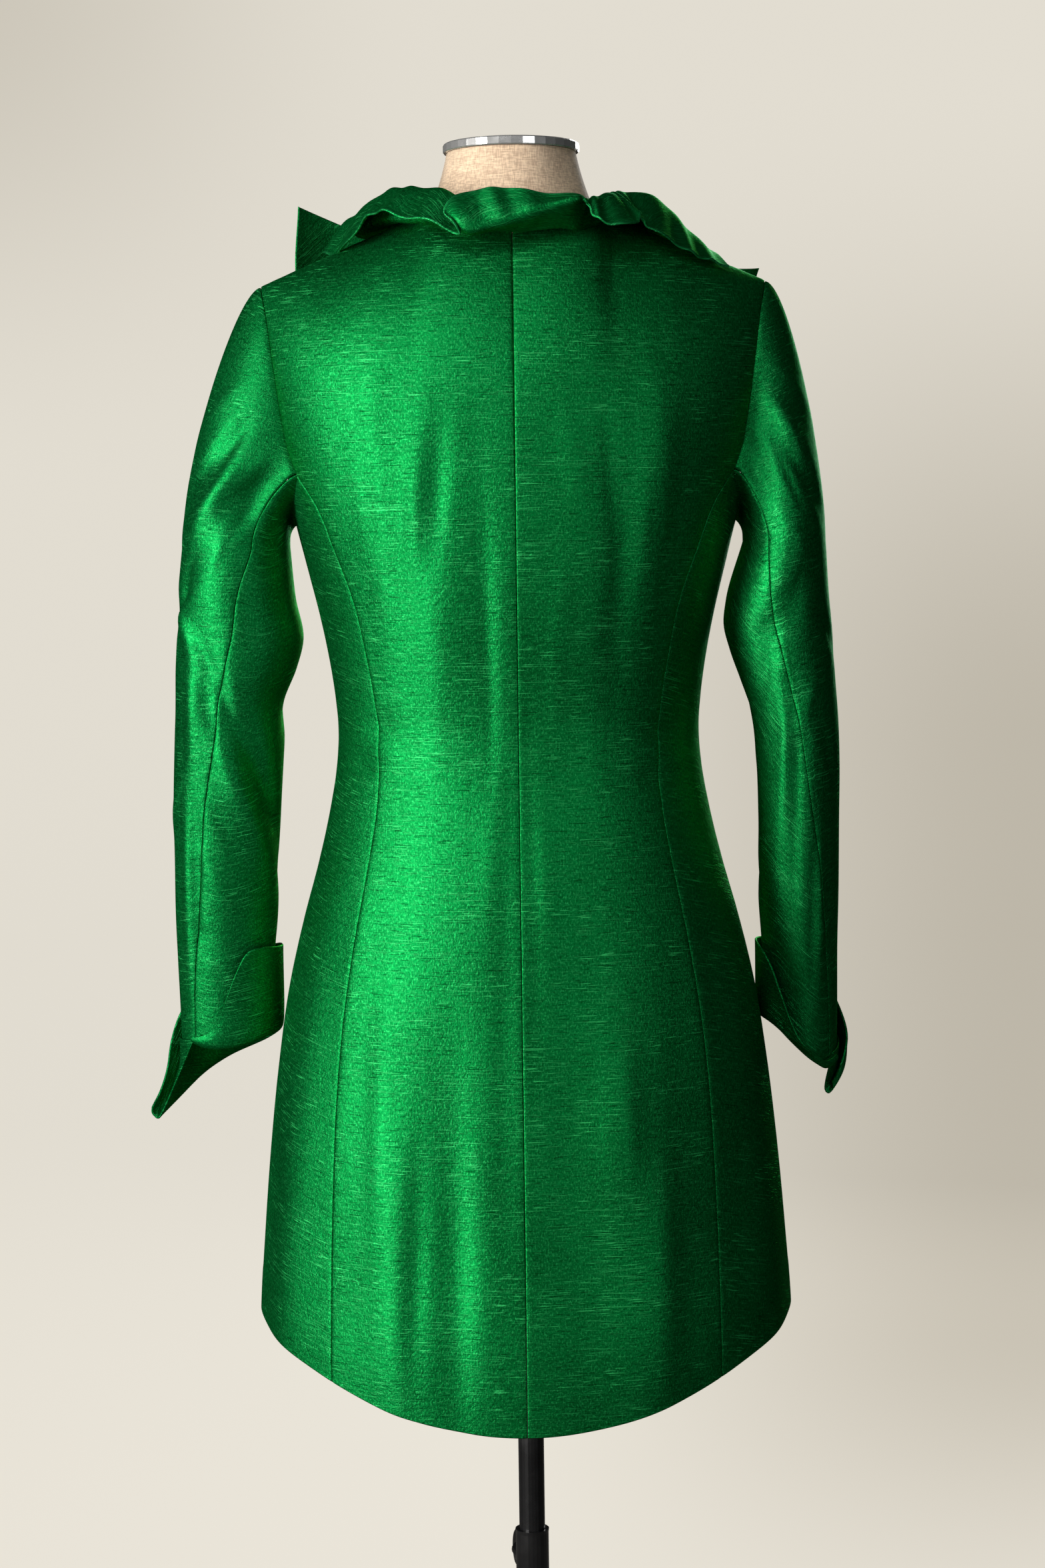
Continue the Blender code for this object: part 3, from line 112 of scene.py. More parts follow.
# smaller creases that only the cloth here has
smallFolds = table("turn height wide tall depth lean", [
    (50, 1.052, 9, 0.01, -0.0016, 0), (44, 1.03, 8, 0.008, 0.0012, 0), (58, 1.02, 8, 0.009, -0.0014, 0),
    (-52, 1.048, 9, 0.01, -0.0015, 0), (-60, 1.022, 9, 0.008, 0.0012, 0), (-46, 1.01, 7, 0.009, -0.0012, 0),
    (8, 0.96, 3, 0.06, 0.0009, -8), (-7, 0.93, 3, 0.07, 0.0009, 8), (34, 1.29, 3, 0.045, 0.0011, -60),
    (-33, 1.3, 3, 0.05, 0.0011, 60), (45, 0.84, 5, 0.09, 0.0012, 12), (-47, 0.83, 5, 0.09, 0.0012, -12),
    (110, 1.04, 9, 0.009, -0.0014, 0), (128, 1.062, 9, 0.01, 0.0012, 0), (-112, 1.036, 9, 0.009, -0.0014, 0),
    (-130, 1.058, 9, 0.01, 0.0012, 0), (140, 1.17, 7, 0.02, -0.0012, 30), (-140, 1.17, 7, 0.02, -0.0012, -30),
    (23.5, 0.64, 2.6, 0.085, -0.0026, 0), (14, 0.64, 3.2, 0.12, -0.002, 4),
    (-21.5, 0.755, 5, 0.065, 0.0046, -6), (-9, 0.73, 3.8, 0.09, -0.0022, -6),
    (-30, 0.64, 4, 0.09, 0.0018, -10), (33, 0.76, 3.6, 0.1, 0.0018, 8), (26, 1.215, 2.6, 0.05, 0.0022, -55),
    (19, 1.235, 2.4, 0.05, -0.002, -45), (38, 1.235, 2.6, 0.045, -0.0018, -35),
    (8.5, 1.1, 2.4, 0.1, -0.0012, 0), (-14, 1.245, 2.8, 0.045, 0.0018, 60),
    (-23, 1.25, 2.6, 0.05, -0.0018, 50), (-33, 1.215, 2.6, 0.05, 0.0018, 30),
    (-12, 1.12, 3, 0.08, 0.0014, -10), (-3.4, 0.89, 2, 0.2, -0.0008, 0), (4, 0.8, 2.2, 0.16, -0.0008, 0),
])

sleeves = {
    "left": {
        "side": 1,
        "tube": table("height across along half_across half_along", [
            (1.19, 0.2205, -0.001, 0.0425, 0.05), (1.15, 0.221, -0.002, 0.0466, 0.0485),
            (1.117, 0.219, -0.003, 0.05, 0.0465), (1.095, 0.2225, -0.003, 0.0478, 0.045),
            (1.07, 0.2278, -0.004, 0.0432, 0.044), (1.04, 0.229, -0.005, 0.0434, 0.042),
            (0.99, 0.2318, -0.008, 0.0428, 0.0395), (0.944, 0.2335, -0.012, 0.0416, 0.037),
            (0.9, 0.235, -0.017, 0.0408, 0.035), (0.86, 0.2368, -0.022, 0.0385, 0.034),
            (0.82, 0.2372, -0.028, 0.0375, 0.0335), (0.76, 0.2372, -0.036, 0.037, 0.033),
        ]),
        "creases": table("turn height wide tall depth lean", [
            (52, 1.262, 30, 0.016, -0.005, 0.0009), (62, 1.228, 24, 0.018, 0.005, 0.0009),
            (100, 1.225, 22, 0.022, -0.0055, 0), (20, 1.15, 26, 0.014, -0.003, 0.0006),
            (120, 1.03, 42, 0.02, -0.006, -0.0013), (105, 1, 38, 0.018, 0.0048, -0.0013),
            (300, 1.12, 40, 0.02, -0.004, 0.0006), (262, 1.03, 36, 0.022, -0.0045, 0.0008),
            (290, 0.96, 34, 0.018, 0.003, 0.0005),
        ]),
        "small": table("turn height wide tall depth lean", [
            (84, 1.19, 18, 0.01, 0.0016, 0.0008), (70, 1.095, 24, 0.008, -0.0014, -0.0012),
            (96, 0.965, 26, 0.009, -0.0016, -0.0012), (82, 0.93, 20, 0.01, 0.0014, -0.001),
            (20, 0.99, 20, 0.01, 0.0012, 0.001), (68, 0.88, 18, 0.012, -0.0012, -0.0008),
            (30, 1.3, 22, 0.012, 0.0014, 0.0008), (200, 1.08, 30, 0.012, -0.0014, 0.001),
            (230, 0.99, 30, 0.01, 0.0014, -0.001), (180, 0.93, 26, 0.012, -0.0012, 0.0008),
            (330, 1.02, 24, 0.01, -0.0012, 0.001), (310, 0.9, 26, 0.012, 0.0012, -0.0008),
            (78, 1.285, 14, 0.018, 0.0026, 0.0016), (60, 1.256, 12, 0.013, -0.0024, 0.0016),
            (112, 1.246, 12, 0.01, -0.0022, 0.001), (98, 1.255, 10, 0.009, 0.002, 0.0012),
            (26, 1.155, 16, 0.008, -0.0042, 0.0012), (34, 1.128, 18, 0.012, 0.0034, -0.001),
            (96, 1.205, 16, 0.01, -0.002, 0.0014), (72, 1.062, 14, 0.028, -0.003, -0.0024),
            (52, 1.052, 10, 0.04, 0.0024, -0.0024), (104, 1.062, 16, 0.014, 0.0024, -0.0016),
            (60, 0.94, 7, 0.07, -0.0016, 0), (46, 0.93, 8, 0.08, 0.0018, 0),
        ]),
        "elbow": table("height turn", [
            (1.245, 115), (1.19, 113), (1.16, 99), (1.12, 87), (1.04, 79.5), (0.98, 69), (0.89, 60),
            (0.81, 50.5), (0.76, 48),
        ]),
        # from the slit round the arm and back; the cloth drops to its fold and turns up
        "cuff": table("turn hem fold_turn fold_out fold_height edge_turn edge_out edge_height roll", [
            (52, 0.8025, 53, 0.003, 0.8, 56, 0.007, 0.8035, 0.0016),
            (62, 0.8005, 62, 0.003, 0.798, 66, 0.008, 0.8045, 0.002),
            (72, 0.799, 72, 0.003, 0.7965, 76, 0.0085, 0.808, 0.0022),
            (84, 0.7985, 84, 0.003, 0.796, 86, 0.009, 0.818, 0.0022),
            (96, 0.7995, 96, 0.003, 0.7968, 95, 0.0095, 0.837, 0.0022),
            (108, 0.8015, 108, 0.003, 0.7985, 104, 0.0095, 0.856, 0.0022),
            (120, 0.8035, 120, 0.003, 0.8005, 114, 0.009, 0.871, 0.0022),
            (134, 0.806, 134, 0.003, 0.803, 128, 0.008, 0.875, 0.0022),
            (155, 0.809, 155, 0.003, 0.806, 152, 0.0065, 0.8742, 0.0022),
            (180, 0.81, 180, 0.0026, 0.8072, 180, 0.0055, 0.8735, 0.0018),
            (208, 0.808, 206, 0.0028, 0.801, 208, 0.006, 0.8725, 0.0018),
            (238, 0.805, 236, 0.0032, 0.7915, 238, 0.0072, 0.866, 0.0022),
            (270, 0.802, 267, 0.0036, 0.7815, 270, 0.0085, 0.855, 0.0024),
            (300, 0.8, 289, 0.0038, 0.7725, 300, 0.01, 0.837, 0.0026),
            (328, 0.799, 308, 0.0042, 0.7635, 325, 0.0125, 0.815, 0.0026),
            (352, 0.7985, 321, 0.006, 0.756, 337, 0.0155, 0.7925, 0.0024),
            (374, 0.7985, 333, 0.009, 0.7485, 343, 0.0175, 0.77, 0.0024),
            (394, 0.799, 345, 0.0145, 0.74, 351, 0.021, 0.753, 0.0024),
            (412, 0.801, 357, 0.0205, 0.7325, 360, 0.0265, 0.74, 0.0024),
        ]),
    },
    "right": {
        "side": -1,
        "tube": table("height across along half_across half_along", [
            (1.19, 0.211, -0.001, 0.0325, 0.056), (1.143, 0.2055, -0.002, 0.0408, 0.0545),
            (1.125, 0.2055, -0.003, 0.0425, 0.053), (1.105, 0.2085, -0.003, 0.0408, 0.0515),
            (1.08, 0.2136, -0.004, 0.0372, 0.0505), (1.05, 0.219, -0.005, 0.034, 0.0495),
            (1.017, 0.2212, -0.007, 0.0328, 0.0475), (0.97, 0.2218, -0.011, 0.032, 0.0455),
            (0.906, 0.2218, -0.018, 0.0318, 0.043), (0.87, 0.2228, -0.022, 0.0302, 0.0415),
            (0.82, 0.224, -0.029, 0.0293, 0.0405), (0.76, 0.224, -0.037, 0.029, 0.04),
        ]),
        "creases": table("turn height wide tall depth lean", [
            (70, 1.29, 26, 0.018, 0.0045, 0.0009), (115, 1.268, 20, 0.014, -0.006, 0.0006),
            (60, 1.245, 30, 0.016, -0.0035, 0.0009), (95, 1.13, 30, 0.02, -0.0035, -0.0008),
            (120, 0.99, 26, 0.06, 0.0035, 0), (85, 0.93, 16, 0.11, 0.003, 0),
            (290, 1.11, 40, 0.02, -0.004, 0.0006), (250, 1.02, 36, 0.022, -0.0045, 0.0008),
        ]),
        "small": table("turn height wide tall depth lean", [
            (88, 1.2, 20, 0.01, 0.0014, 0.0008), (120, 1.09, 22, 0.009, -0.0014, -0.001),
            (80, 1.06, 20, 0.01, 0.0014, -0.0009), (105, 0.93, 20, 0.012, -0.0012, 0.0006),
            (30, 1.12, 22, 0.01, -0.0012, 0.0008), (60, 0.88, 16, 0.012, 0.0011, -0.0006),
            (30, 1.31, 22, 0.012, 0.0012, 0.0008), (200, 1.08, 30, 0.012, -0.0014, 0.001),
            (230, 0.98, 30, 0.01, 0.0014, -0.001), (180, 0.92, 26, 0.012, -0.0012, 0.0008),
            (330, 1.01, 24, 0.01, -0.0012, 0.001), (310, 0.9, 26, 0.012, 0.0012, -0.0008),
            (96, 1.262, 12, 0.016, 0.003, 0.0018), (80, 1.238, 12, 0.011, -0.0026, 0.0016),
            (118, 1.246, 9, 0.008, -0.0028, 0.001), (66, 1.275, 14, 0.014, 0.0022, 0.0014),
            (90, 1.14, 12, 0.05, 0.002, 0), (112, 1.03, 10, 0.04, 0.0026, -0.002),
            (100, 1, 8, 0.06, -0.0018, -0.0016), (66, 0.9, 8, 0.06, 0.0022, -0.001),
            (78, 0.89, 7, 0.06, -0.0016, -0.001), (48, 1.02, 16, 0.014, -0.0018, 0.0012),
        ]),
        "elbow": table("height turn", [
            (1.245, 128), (1.19, 120), (1.16, 108), (1.11, 97), (1.06, 94), (1.005, 84), (0.935, 64),
            (0.86, 50), (0.815, 45), (0.76, 44),
        ]),
        "cuff": table("turn hem fold_turn fold_out fold_height edge_turn edge_out edge_height roll", [
            (40, 0.781, 40, 0.003, 0.778, 43, 0.006, 0.7815, 0.0014),
            (50, 0.7785, 50, 0.003, 0.7752, 54, 0.0065, 0.779, 0.0016),
            (61, 0.7775, 61, 0.003, 0.7738, 66, 0.008, 0.7785, 0.002),
            (74, 0.7815, 74, 0.003, 0.7782, 76, 0.0105, 0.784, 0.0022),
            (87, 0.7875, 87, 0.003, 0.784, 87, 0.0125, 0.79, 0.0022),
            (100, 0.795, 100, 0.003, 0.7912, 98, 0.0135, 0.7985, 0.0022),
            (112, 0.8015, 112, 0.003, 0.7982, 108, 0.0135, 0.815, 0.0022),
            (125, 0.809, 125, 0.003, 0.8055, 119, 0.012, 0.836, 0.0022),
            (140, 0.814, 140, 0.003, 0.8108, 132, 0.0095, 0.856, 0.0022),
            (158, 0.8165, 158, 0.0028, 0.813, 151, 0.0068, 0.868, 0.0018),
            (180, 0.8165, 180, 0.0024, 0.8132, 177, 0.0046, 0.872, 0.0014),
            (208, 0.815, 208, 0.0026, 0.811, 207, 0.005, 0.872, 0.0014),
            (238, 0.811, 238, 0.003, 0.806, 238, 0.006, 0.869, 0.002),
            (270, 0.806, 270, 0.0034, 0.799, 270, 0.007, 0.86, 0.0022),
            (300, 0.801, 300, 0.0034, 0.791, 300, 0.0075, 0.842, 0.0022),
            (328, 0.796, 328, 0.0034, 0.782, 330, 0.0085, 0.815, 0.0022),
            (352, 0.791, 350, 0.003, 0.773, 352, 0.0095, 0.793, 0.002),
            (372, 0.787, 366, 0, 0.7635, 367, 0.006, 0.777, 0.0022),
            (388, 0.784, 379, -0.0045, 0.755, 378.5, 0.0015, 0.764, 0.0024),
            (400, 0.7825, 387, -0.008, 0.749, 387, -0.002, 0.757, 0.0024),
        ]),
    },
}

# the ruffle from the left front round the back to the right front: from the neck seam the
# cloth passes its belly and its ridge and ends at the free edge
ruffle = table("seam belly_x belly_y belly_z ridge_x ridge_y ridge_z edge_x edge_y edge_z", [
    (1.12, 0.12, -0.026, 1.434, 0.13, -0.022, 1.446, 0.149, -0.008, 1.42),
    (0.97, 0.118, -0.006, 1.435, 0.12, -0.002, 1.451, 0.138, 0.014, 1.416),
    (0.82, 0.11, 0.01, 1.439, 0.107, 0.018, 1.458, 0.127, 0.036, 1.424),
    (0.7, 0.098, 0.024, 1.442, 0.093, 0.036, 1.463, 0.114, 0.054, 1.438),
    (0.59, 0.085, 0.034, 1.441, 0.078, 0.048, 1.463, 0.1, 0.07, 1.443),
    (0.47, 0.071, 0.046, 1.441, 0.064, 0.06, 1.461, 0.08, 0.084, 1.436),
    (0.37, 0.054, 0.058, 1.44, 0.05, 0.07, 1.458, 0.061, 0.094, 1.432),
    (0.27, 0.04, 0.068, 1.436, 0.038, 0.079, 1.449, 0.039, 0.099, 1.421),
    (0.21, 0.034, 0.074, 1.431, 0.036, 0.092, 1.426, 0.051, 0.101, 1.437),
    (0.15, 0.026, 0.076, 1.427, 0.03, 0.098, 1.423, 0.045, 0.096, 1.449),
    (0.06, 0.012, 0.078, 1.427, 0.016, 0.098, 1.427, 0.027, 0.09, 1.455),
    (-0.05, -0.006, 0.078, 1.427, -0.003, 0.097, 1.432, 0.006, 0.087, 1.457),
    (-0.2, -0.024, 0.077, 1.429, -0.026, 0.095, 1.439, -0.023, 0.086, 1.453),
    (-0.34, -0.039, 0.074, 1.43, -0.045, 0.092, 1.444, -0.05, 0.087, 1.45),
    (-0.43, -0.047, 0.07, 1.429, -0.054, 0.084, 1.447, -0.0585, 0.094, 1.441),
    (-0.5, -0.053, 0.063, 1.429, -0.061, 0.078, 1.45, -0.066, 0.1, 1.431),
    (-0.56, -0.06, 0.057, 1.431, -0.069, 0.07, 1.453, -0.081, 0.099, 1.427),
    (-0.61, -0.067, 0.052, 1.434, -0.075, 0.064, 1.455, -0.095, 0.09, 1.43),
    (-0.66, -0.07, 0.048, 1.438, -0.076, 0.056, 1.456, -0.098, 0.078, 1.437),
    (-0.72, -0.078, 0.04, 1.44, -0.082, 0.046, 1.458, -0.101, 0.072, 1.432),
    (-0.79, -0.092, 0.028, 1.441, -0.095, 0.04, 1.458, -0.109, 0.066, 1.426),
    (-0.87, -0.106, 0.016, 1.438, -0.112, 0.03, 1.455, -0.124, 0.056, 1.418),
    (-0.95, -0.12, 0.004, 1.433, -0.128, 0.018, 1.441, -0.14, 0.046, 1.41),
    (-1.04, -0.134, -0.008, 1.426, -0.146, 0.008, 1.424, -0.156, 0.036, 1.405),
    (-1.12, -0.146, -0.018, 1.42, -0.158, -0.002, 1.4165, -0.168, 0.029, 1.4025),
])

# the front flaps: the outer edge from the waist up to the tip
lapelFoot = [(0, 0.01, 1.092, 0.001), (0.15, 0.052, 1.128, 0.003), (0.3, 0.09, 1.18, 0.0045)]
lapels = {
    "left": table("share out height lift", lapelFoot + [
        (0.5, 0.126, 1.25, 0.006), (0.7, 0.156, 1.33, 0.008), (0.85, 0.174, 1.4, 0.01),
        (1, 0.172, 1.463, 0.011),
    ]),
    "right": table("share out height lift", lapelFoot + [
        (0.5, 0.128, 1.245, 0.006), (0.7, 0.16, 1.315, 0.008), (0.85, 0.185, 1.372, 0.01),
        (1, 0.196, 1.406, 0.011),
    ]),
}


# small tools for curves and surfaces

def curveThrough(knots, values, at):
    # a cubic curve through the rows: between two rows it leaves and arrives at their slopes
    if knots[0] > knots[-1]:
        knots, values = knots[::-1], values[::-1]
    at = np.clip(np.asarray(at, float), knots[0], knots[-1])
    slope = np.gradient(values, knots, axis=0)
    i = np.clip(np.searchsorted(knots, at, side="right") - 1, 0, len(knots) - 2)
    step = (knots[i + 1] - knots[i]).reshape(at.shape + (1,) * (values.ndim - 1))
    t = (at - knots[i]).reshape(step.shape) / step
    rise = values[i] * (1 + 2 * t) * (1 - t) ** 2 + values[i + 1] * t * t * (3 - 2 * t)
    return rise + step * (slope[i] * t * (1 - t) ** 2 - slope[i + 1] * t * t * (1 - t))


def read(tab, column, at):
    # a column's value at a place along the table's first column, by the cubic curve
    return curveThrough(tab[next(iter(tab))], tab[column], at)


def blend(a, b, t):
    # a at share 0, b at share 1, straight between
    return a + (b - a) * t


def softStep(t):
    # three times t squared less twice t cubed, level before 0 and after 1
    t = np.clip(t, 0.0, 1.0)
    return t * t * (3 - 2 * t)


def unit(v):
    # each vector divided by its length
    return v / np.maximum(np.linalg.norm(v, axis=-1, keepdims=True), 1e-12)


def xyz(x, y, z):
    # points from three coordinates, a single value standing for all of them
    return np.stack(np.broadcast_arrays(x, y, z), -1)


def gridNormal(grid, side):
    # the cross product of the two directions of the grid, turned outward by the side
    return unit(np.cross(np.gradient(grid, axis=0), np.gradient(grid, axis=1)) * side)


def shares(length, low=True, high=True, step=None):
    # shares of a length, evenly spaced but close together where a rounded edge needs it
    near = np.array([0.0, 0.0005, 0.0011, 0.0019, 0.0030, 0.0045])
    start = near if low else np.array([0.0])
    end = length - near[::-1] if high else np.array([length])
    count = max(2, int(round((end[0] - start[-1]) / (step or cloth["step"]))))
    return np.concatenate([start[:-1], np.linspace(start[-1], end[0], count + 1), end[1:]]) / length


def bells(tab, turn, height, leanDown):
    # sum of soft ridges and troughs, each a bell across and along its own leaning line
    lift = np.zeros(np.broadcast(turn, height).shape)
    for at, level, wide, tall, depth, lean in zip(*tab.values()):
        away = (turn - at + 180) % 360 - 180
        if leanDown:
            away = away - lean * (height - level)
            along = height - level
        else:
            along = height - level - lean * away
        lift = lift + depth * np.exp(-(away / wide) ** 2 - (along / tall) ** 2)
    return lift


# the body

def crest(x, front, inset=0.0):
    # height and y of the top edge over x: the neck seam, then the shoulder seam
    out, neck = np.abs(x), shape["neckX"] - 2.5 * inset
    inside = np.clip(1 - (out / neck) ** 2, 0.0, 1.0)
    along = np.clip((out - neck) / (shape["shoulderX"] - neck), 0.0, 1.3)
    height = blend(shape["neck"], shape["shoulder"], along) - inset
    height = height - np.where(front, shape["throatDrop"], shape["napeDrop"]) * inside
    reach = np.where(front, -shape["throatReach"], shape["napeReach"]) * (1 - 40 * inset)
    return height, shape["neckY"] * (1 - along) + reach * np.sqrt(inside)


def depthAt(tab, front, height):
    # the front's or the back's depth at a height
    return np.where(front, read(tab, "front", height), read(tab, "back", height))


def upShare(height, top):
    # share of the way from the chest up to the top edge
    return np.clip((height - shape["chest"]) / (top - shape["chest"]), 0.0, 1.0)


shoulderRound = {"width": 0.12, "inner": (2.4, 1.15), "outer": (3.0, 1.7)}


def closing(s, x):
    # share of the depth left at share s of the way from the chest up to the crest
    side = np.clip(np.abs(x) / shoulderRound["width"], 0.0, 1.0)
    late, blunt = (blend(a, b, side) for a, b in zip(shoulderRound["inner"], shoulderRound["outer"]))
    return (1 - s ** late) ** (1 / blunt)


def torso(turn, height, fine=True):
    # an ellipse at each height whose depth closes onto the crest as the shoulders round over
    turn, height = np.broadcast_arrays(np.asarray(turn, float), np.asarray(height, float))
    a = np.radians(turn)
    front = np.cos(a) < 0
    x = read(bodyTable, "half_width", height) * np.sin(a)
    y = depthAt(bodyTable, front, height) * np.cos(a)
    top, topY = crest(x, front)
    y = topY + (y - topY) * closing(upShare(height + 0.0001, top), x)
    lift = bells(bodyFolds, turn, height, True)
    if fine:
        lift = lift + bells(smallFolds, turn, height, True)
    lift = lift * softStep((top - height) / 0.06)
    return xyz(x + lift * np.sin(a), y + lift * np.cos(a), height)


def torsoNormal(turn, height):
    # outward direction of the cloth; straight up along the shoulder seam
    turn, height = np.broadcast_arrays(np.asarray(turn, float), np.asarray(height, float))
    along = torso(turn + 0.2, height) - torso(turn - 0.2, height)
    up = torso(turn, height + 0.0005) - torso(turn, height - 0.0005)
    normal, point = unit(np.cross(up, along)), torso(turn, height)
    top, _ = crest(point[..., 0], point[..., 1] < 0)
    lift = softStep((upShare(height, top) - 0.8) / 0.2) * softStep((np.abs(point[..., 0]) - 0.060) / 0.012)
    return unit(normal * (1 - lift[..., None]) + np.array([0, 0, 1.0]) * lift[..., None])


def turnAt(out, height, front=False):
    # the turn whose sine is the distance out divided by the half width
    ratio = np.clip(out / read(bodyTable, "half_width", height), 0.0, 1.0)
    turn = np.degrees(np.arcsin(ratio))
    return 180 - turn if front else turn


def gapTurn(turn, height, distance):
    # a short distance round the ellipse in degrees: divided by the ellipse's length a radian
    a = np.radians(turn)
    width, depth = read(bodyTable, "half_width", height), depthAt(bodyTable, np.cos(a) < 0, height)
    return np.degrees(distance / np.hypot(width * np.cos(a), depth * np.sin(a)))


def hemHeight(turn):
    # the hem dips at centre back and rises to the sides; the front corners round up
    back = np.clip(np.cos(np.radians(turn)), 0.0, 1.0) ** 2
    corner = np.clip((np.abs(turn) - 150) / 30, 0.0, 1.0) ** 3
    return shape["sideHem"] - shape["hemDrop"] * back + shape["frontRise"] * corner


def seamEdge(kind, rows):
    # turn and height of a lengthwise seam, from the hem up to the armhole's level
    if kind == "centre":
        return np.zeros(len(rows)), blend(hemHeight(0.0), shape["blade"], rows)
    if kind == "princess":
        foot = turnAt(read(princess, "out", shape["seamLevel"]), shape["seamLevel"])
        height = blend(hemHeight(foot), shape["blade"], rows)
        return turnAt(read(princess, "out", height), height), height
    if kind == "side":
        seam = shape["sideSeam"]
        return np.full(len(rows), seam), blend(hemHeight(seam), shape["underarm"], rows)
    height = blend(hemHeight(180.0), shape["underarm"], rows)
    return turnAt(read(neckline, "out", height), height, front=True), height


def panelGrid(edgeA, edgeB, u, rows, top):
    # straight across from seam to seam, and by shares from the hem up to the top
    turn = blend(edgeA[0][:, None], edgeB[0][:, None], u[None, :])
    return turn, blend(hemHeight(turn[0])[None, :], top(u)[None, :], rows[:, None])


def insetColumns(turn, height):
    # the first and last columns drawn in by half a seam's gap
    turn, ahead = turn.copy(), np.sign(turn[:, 1] - turn[:, 0])
    turn[:, 0] += ahead * gapTurn(turn[:, 0], height[:, 0], cloth["seamGap"] / 2)
    turn[:, -1] -= ahead * gapTurn(turn[:, -1], height[:, -1], cloth["seamGap"] / 2)
    return turn


def topOver(turn, front):
    # height of the top edge over each turn
    return crest(read(bodyTable, "half_width", shape["topLevel"]) * np.sin(np.radians(turn)), front)[0]


# about how long each panel's edges are, for the spacing of its rows and columns
panelSize = {"backWidth": 0.16, "backLength": 0.72, "backTop": 0.19, "sideWidth": 0.15, "sideLength": 0.66,
             "frontWidth": 0.2, "frontLength": 0.6, "frontTop": 0.2}


def backGrid():
    # centre back: from the centre seam to the princess seam, then to the armhole
    edge = turnAt(shape["shoulderX"], shape["topLevel"])
    neckShare = turnAt(shape["neckX"], shape["topLevel"]) / edge
    u = shares(panelSize["backWidth"])
    u[np.argmin(np.abs(u - neckShare))] = neckShare    # one column on the neck point, where the top bends
    rows, upper = shares(panelSize["backLength"], high=False), shares(panelSize["backTop"], low=False)
    lowTurn, lowHeight = panelGrid(seamEdge("centre", rows), seamEdge("princess", rows), u, rows,
                                   lambda u: np.full(len(u), shape["blade"]))
    edgeHeight = blend(shape["blade"], shape["shoulder"], upper)
    turn = turnAt(read(backArmhole, "out", edgeHeight), edgeHeight)[:, None] * u[None, :]
    height = blend(shape["blade"], topOver(turn[-1], False)[None, :], upper[:, None])
    return np.vstack([lowTurn, turn[1:]]), np.vstack([lowHeight, height[1:]])


def sideBackGrid():
    # side back: from the princess seam to the side seam, with the armhole on top
    rows, u = shares(panelSize["sideLength"]), shares(panelSize["sideWidth"])
    return panelGrid(seamEdge("princess", rows), seamEdge("side", rows), u, rows,
                     lambda u: blend(shape["blade"], shape["underarm"], np.sin(u * math.pi / 2) ** 0.8))


def frontGrid():
    # front: from the side seam to the front edge, then armhole and neckline above
    u = shares(panelSize["frontWidth"])
    rows, upper = shares(panelSize["frontLength"], high=False), shares(panelSize["frontTop"], low=False)
    lowTurn, lowHeight = panelGrid(seamEdge("side", rows), seamEdge("front", rows), u, rows,
                                   lambda u: np.full(len(u), shape["underarm"]))
    step = np.linspace(shape["underarm"], shape["blade"], 11)[1:-1]
    armHeight = np.append(step, blend(shape["blade"], shape["shoulder"], upper))
    neckHeight = np.append(step, blend(shape["blade"], shape["neck"], upper))
    armTurn = turnAt(read(frontArmhole, "out", armHeight), armHeight, front=True)
    neckTurn = turnAt(read(neckline, "out", neckHeight), neckHeight, front=True)
    turn = blend(armTurn[:, None], neckTurn[:, None], u[None, :])
    high = blend(shape["blade"], topOver(turn[-1], True)[None, :], upper[:, None])
    middle = np.repeat(step[:, None], len(u), 1)
    return np.vstack([lowTurn, turn]), np.vstack([lowHeight, middle, high])


# walls of cloth

def alongGrid(face):
    # distance from the first column and from the first row, measured over the surface
    across = np.linalg.norm(np.diff(face, axis=1), axis=-1)
    down = np.linalg.norm(np.diff(face, axis=0), axis=-1)
    return (np.concatenate([np.zeros((len(face), 1)), np.cumsum(across, 1)], 1),
            np.concatenate([np.zeros((1, face.shape[1])), np.cumsum(down, 0)], 0))


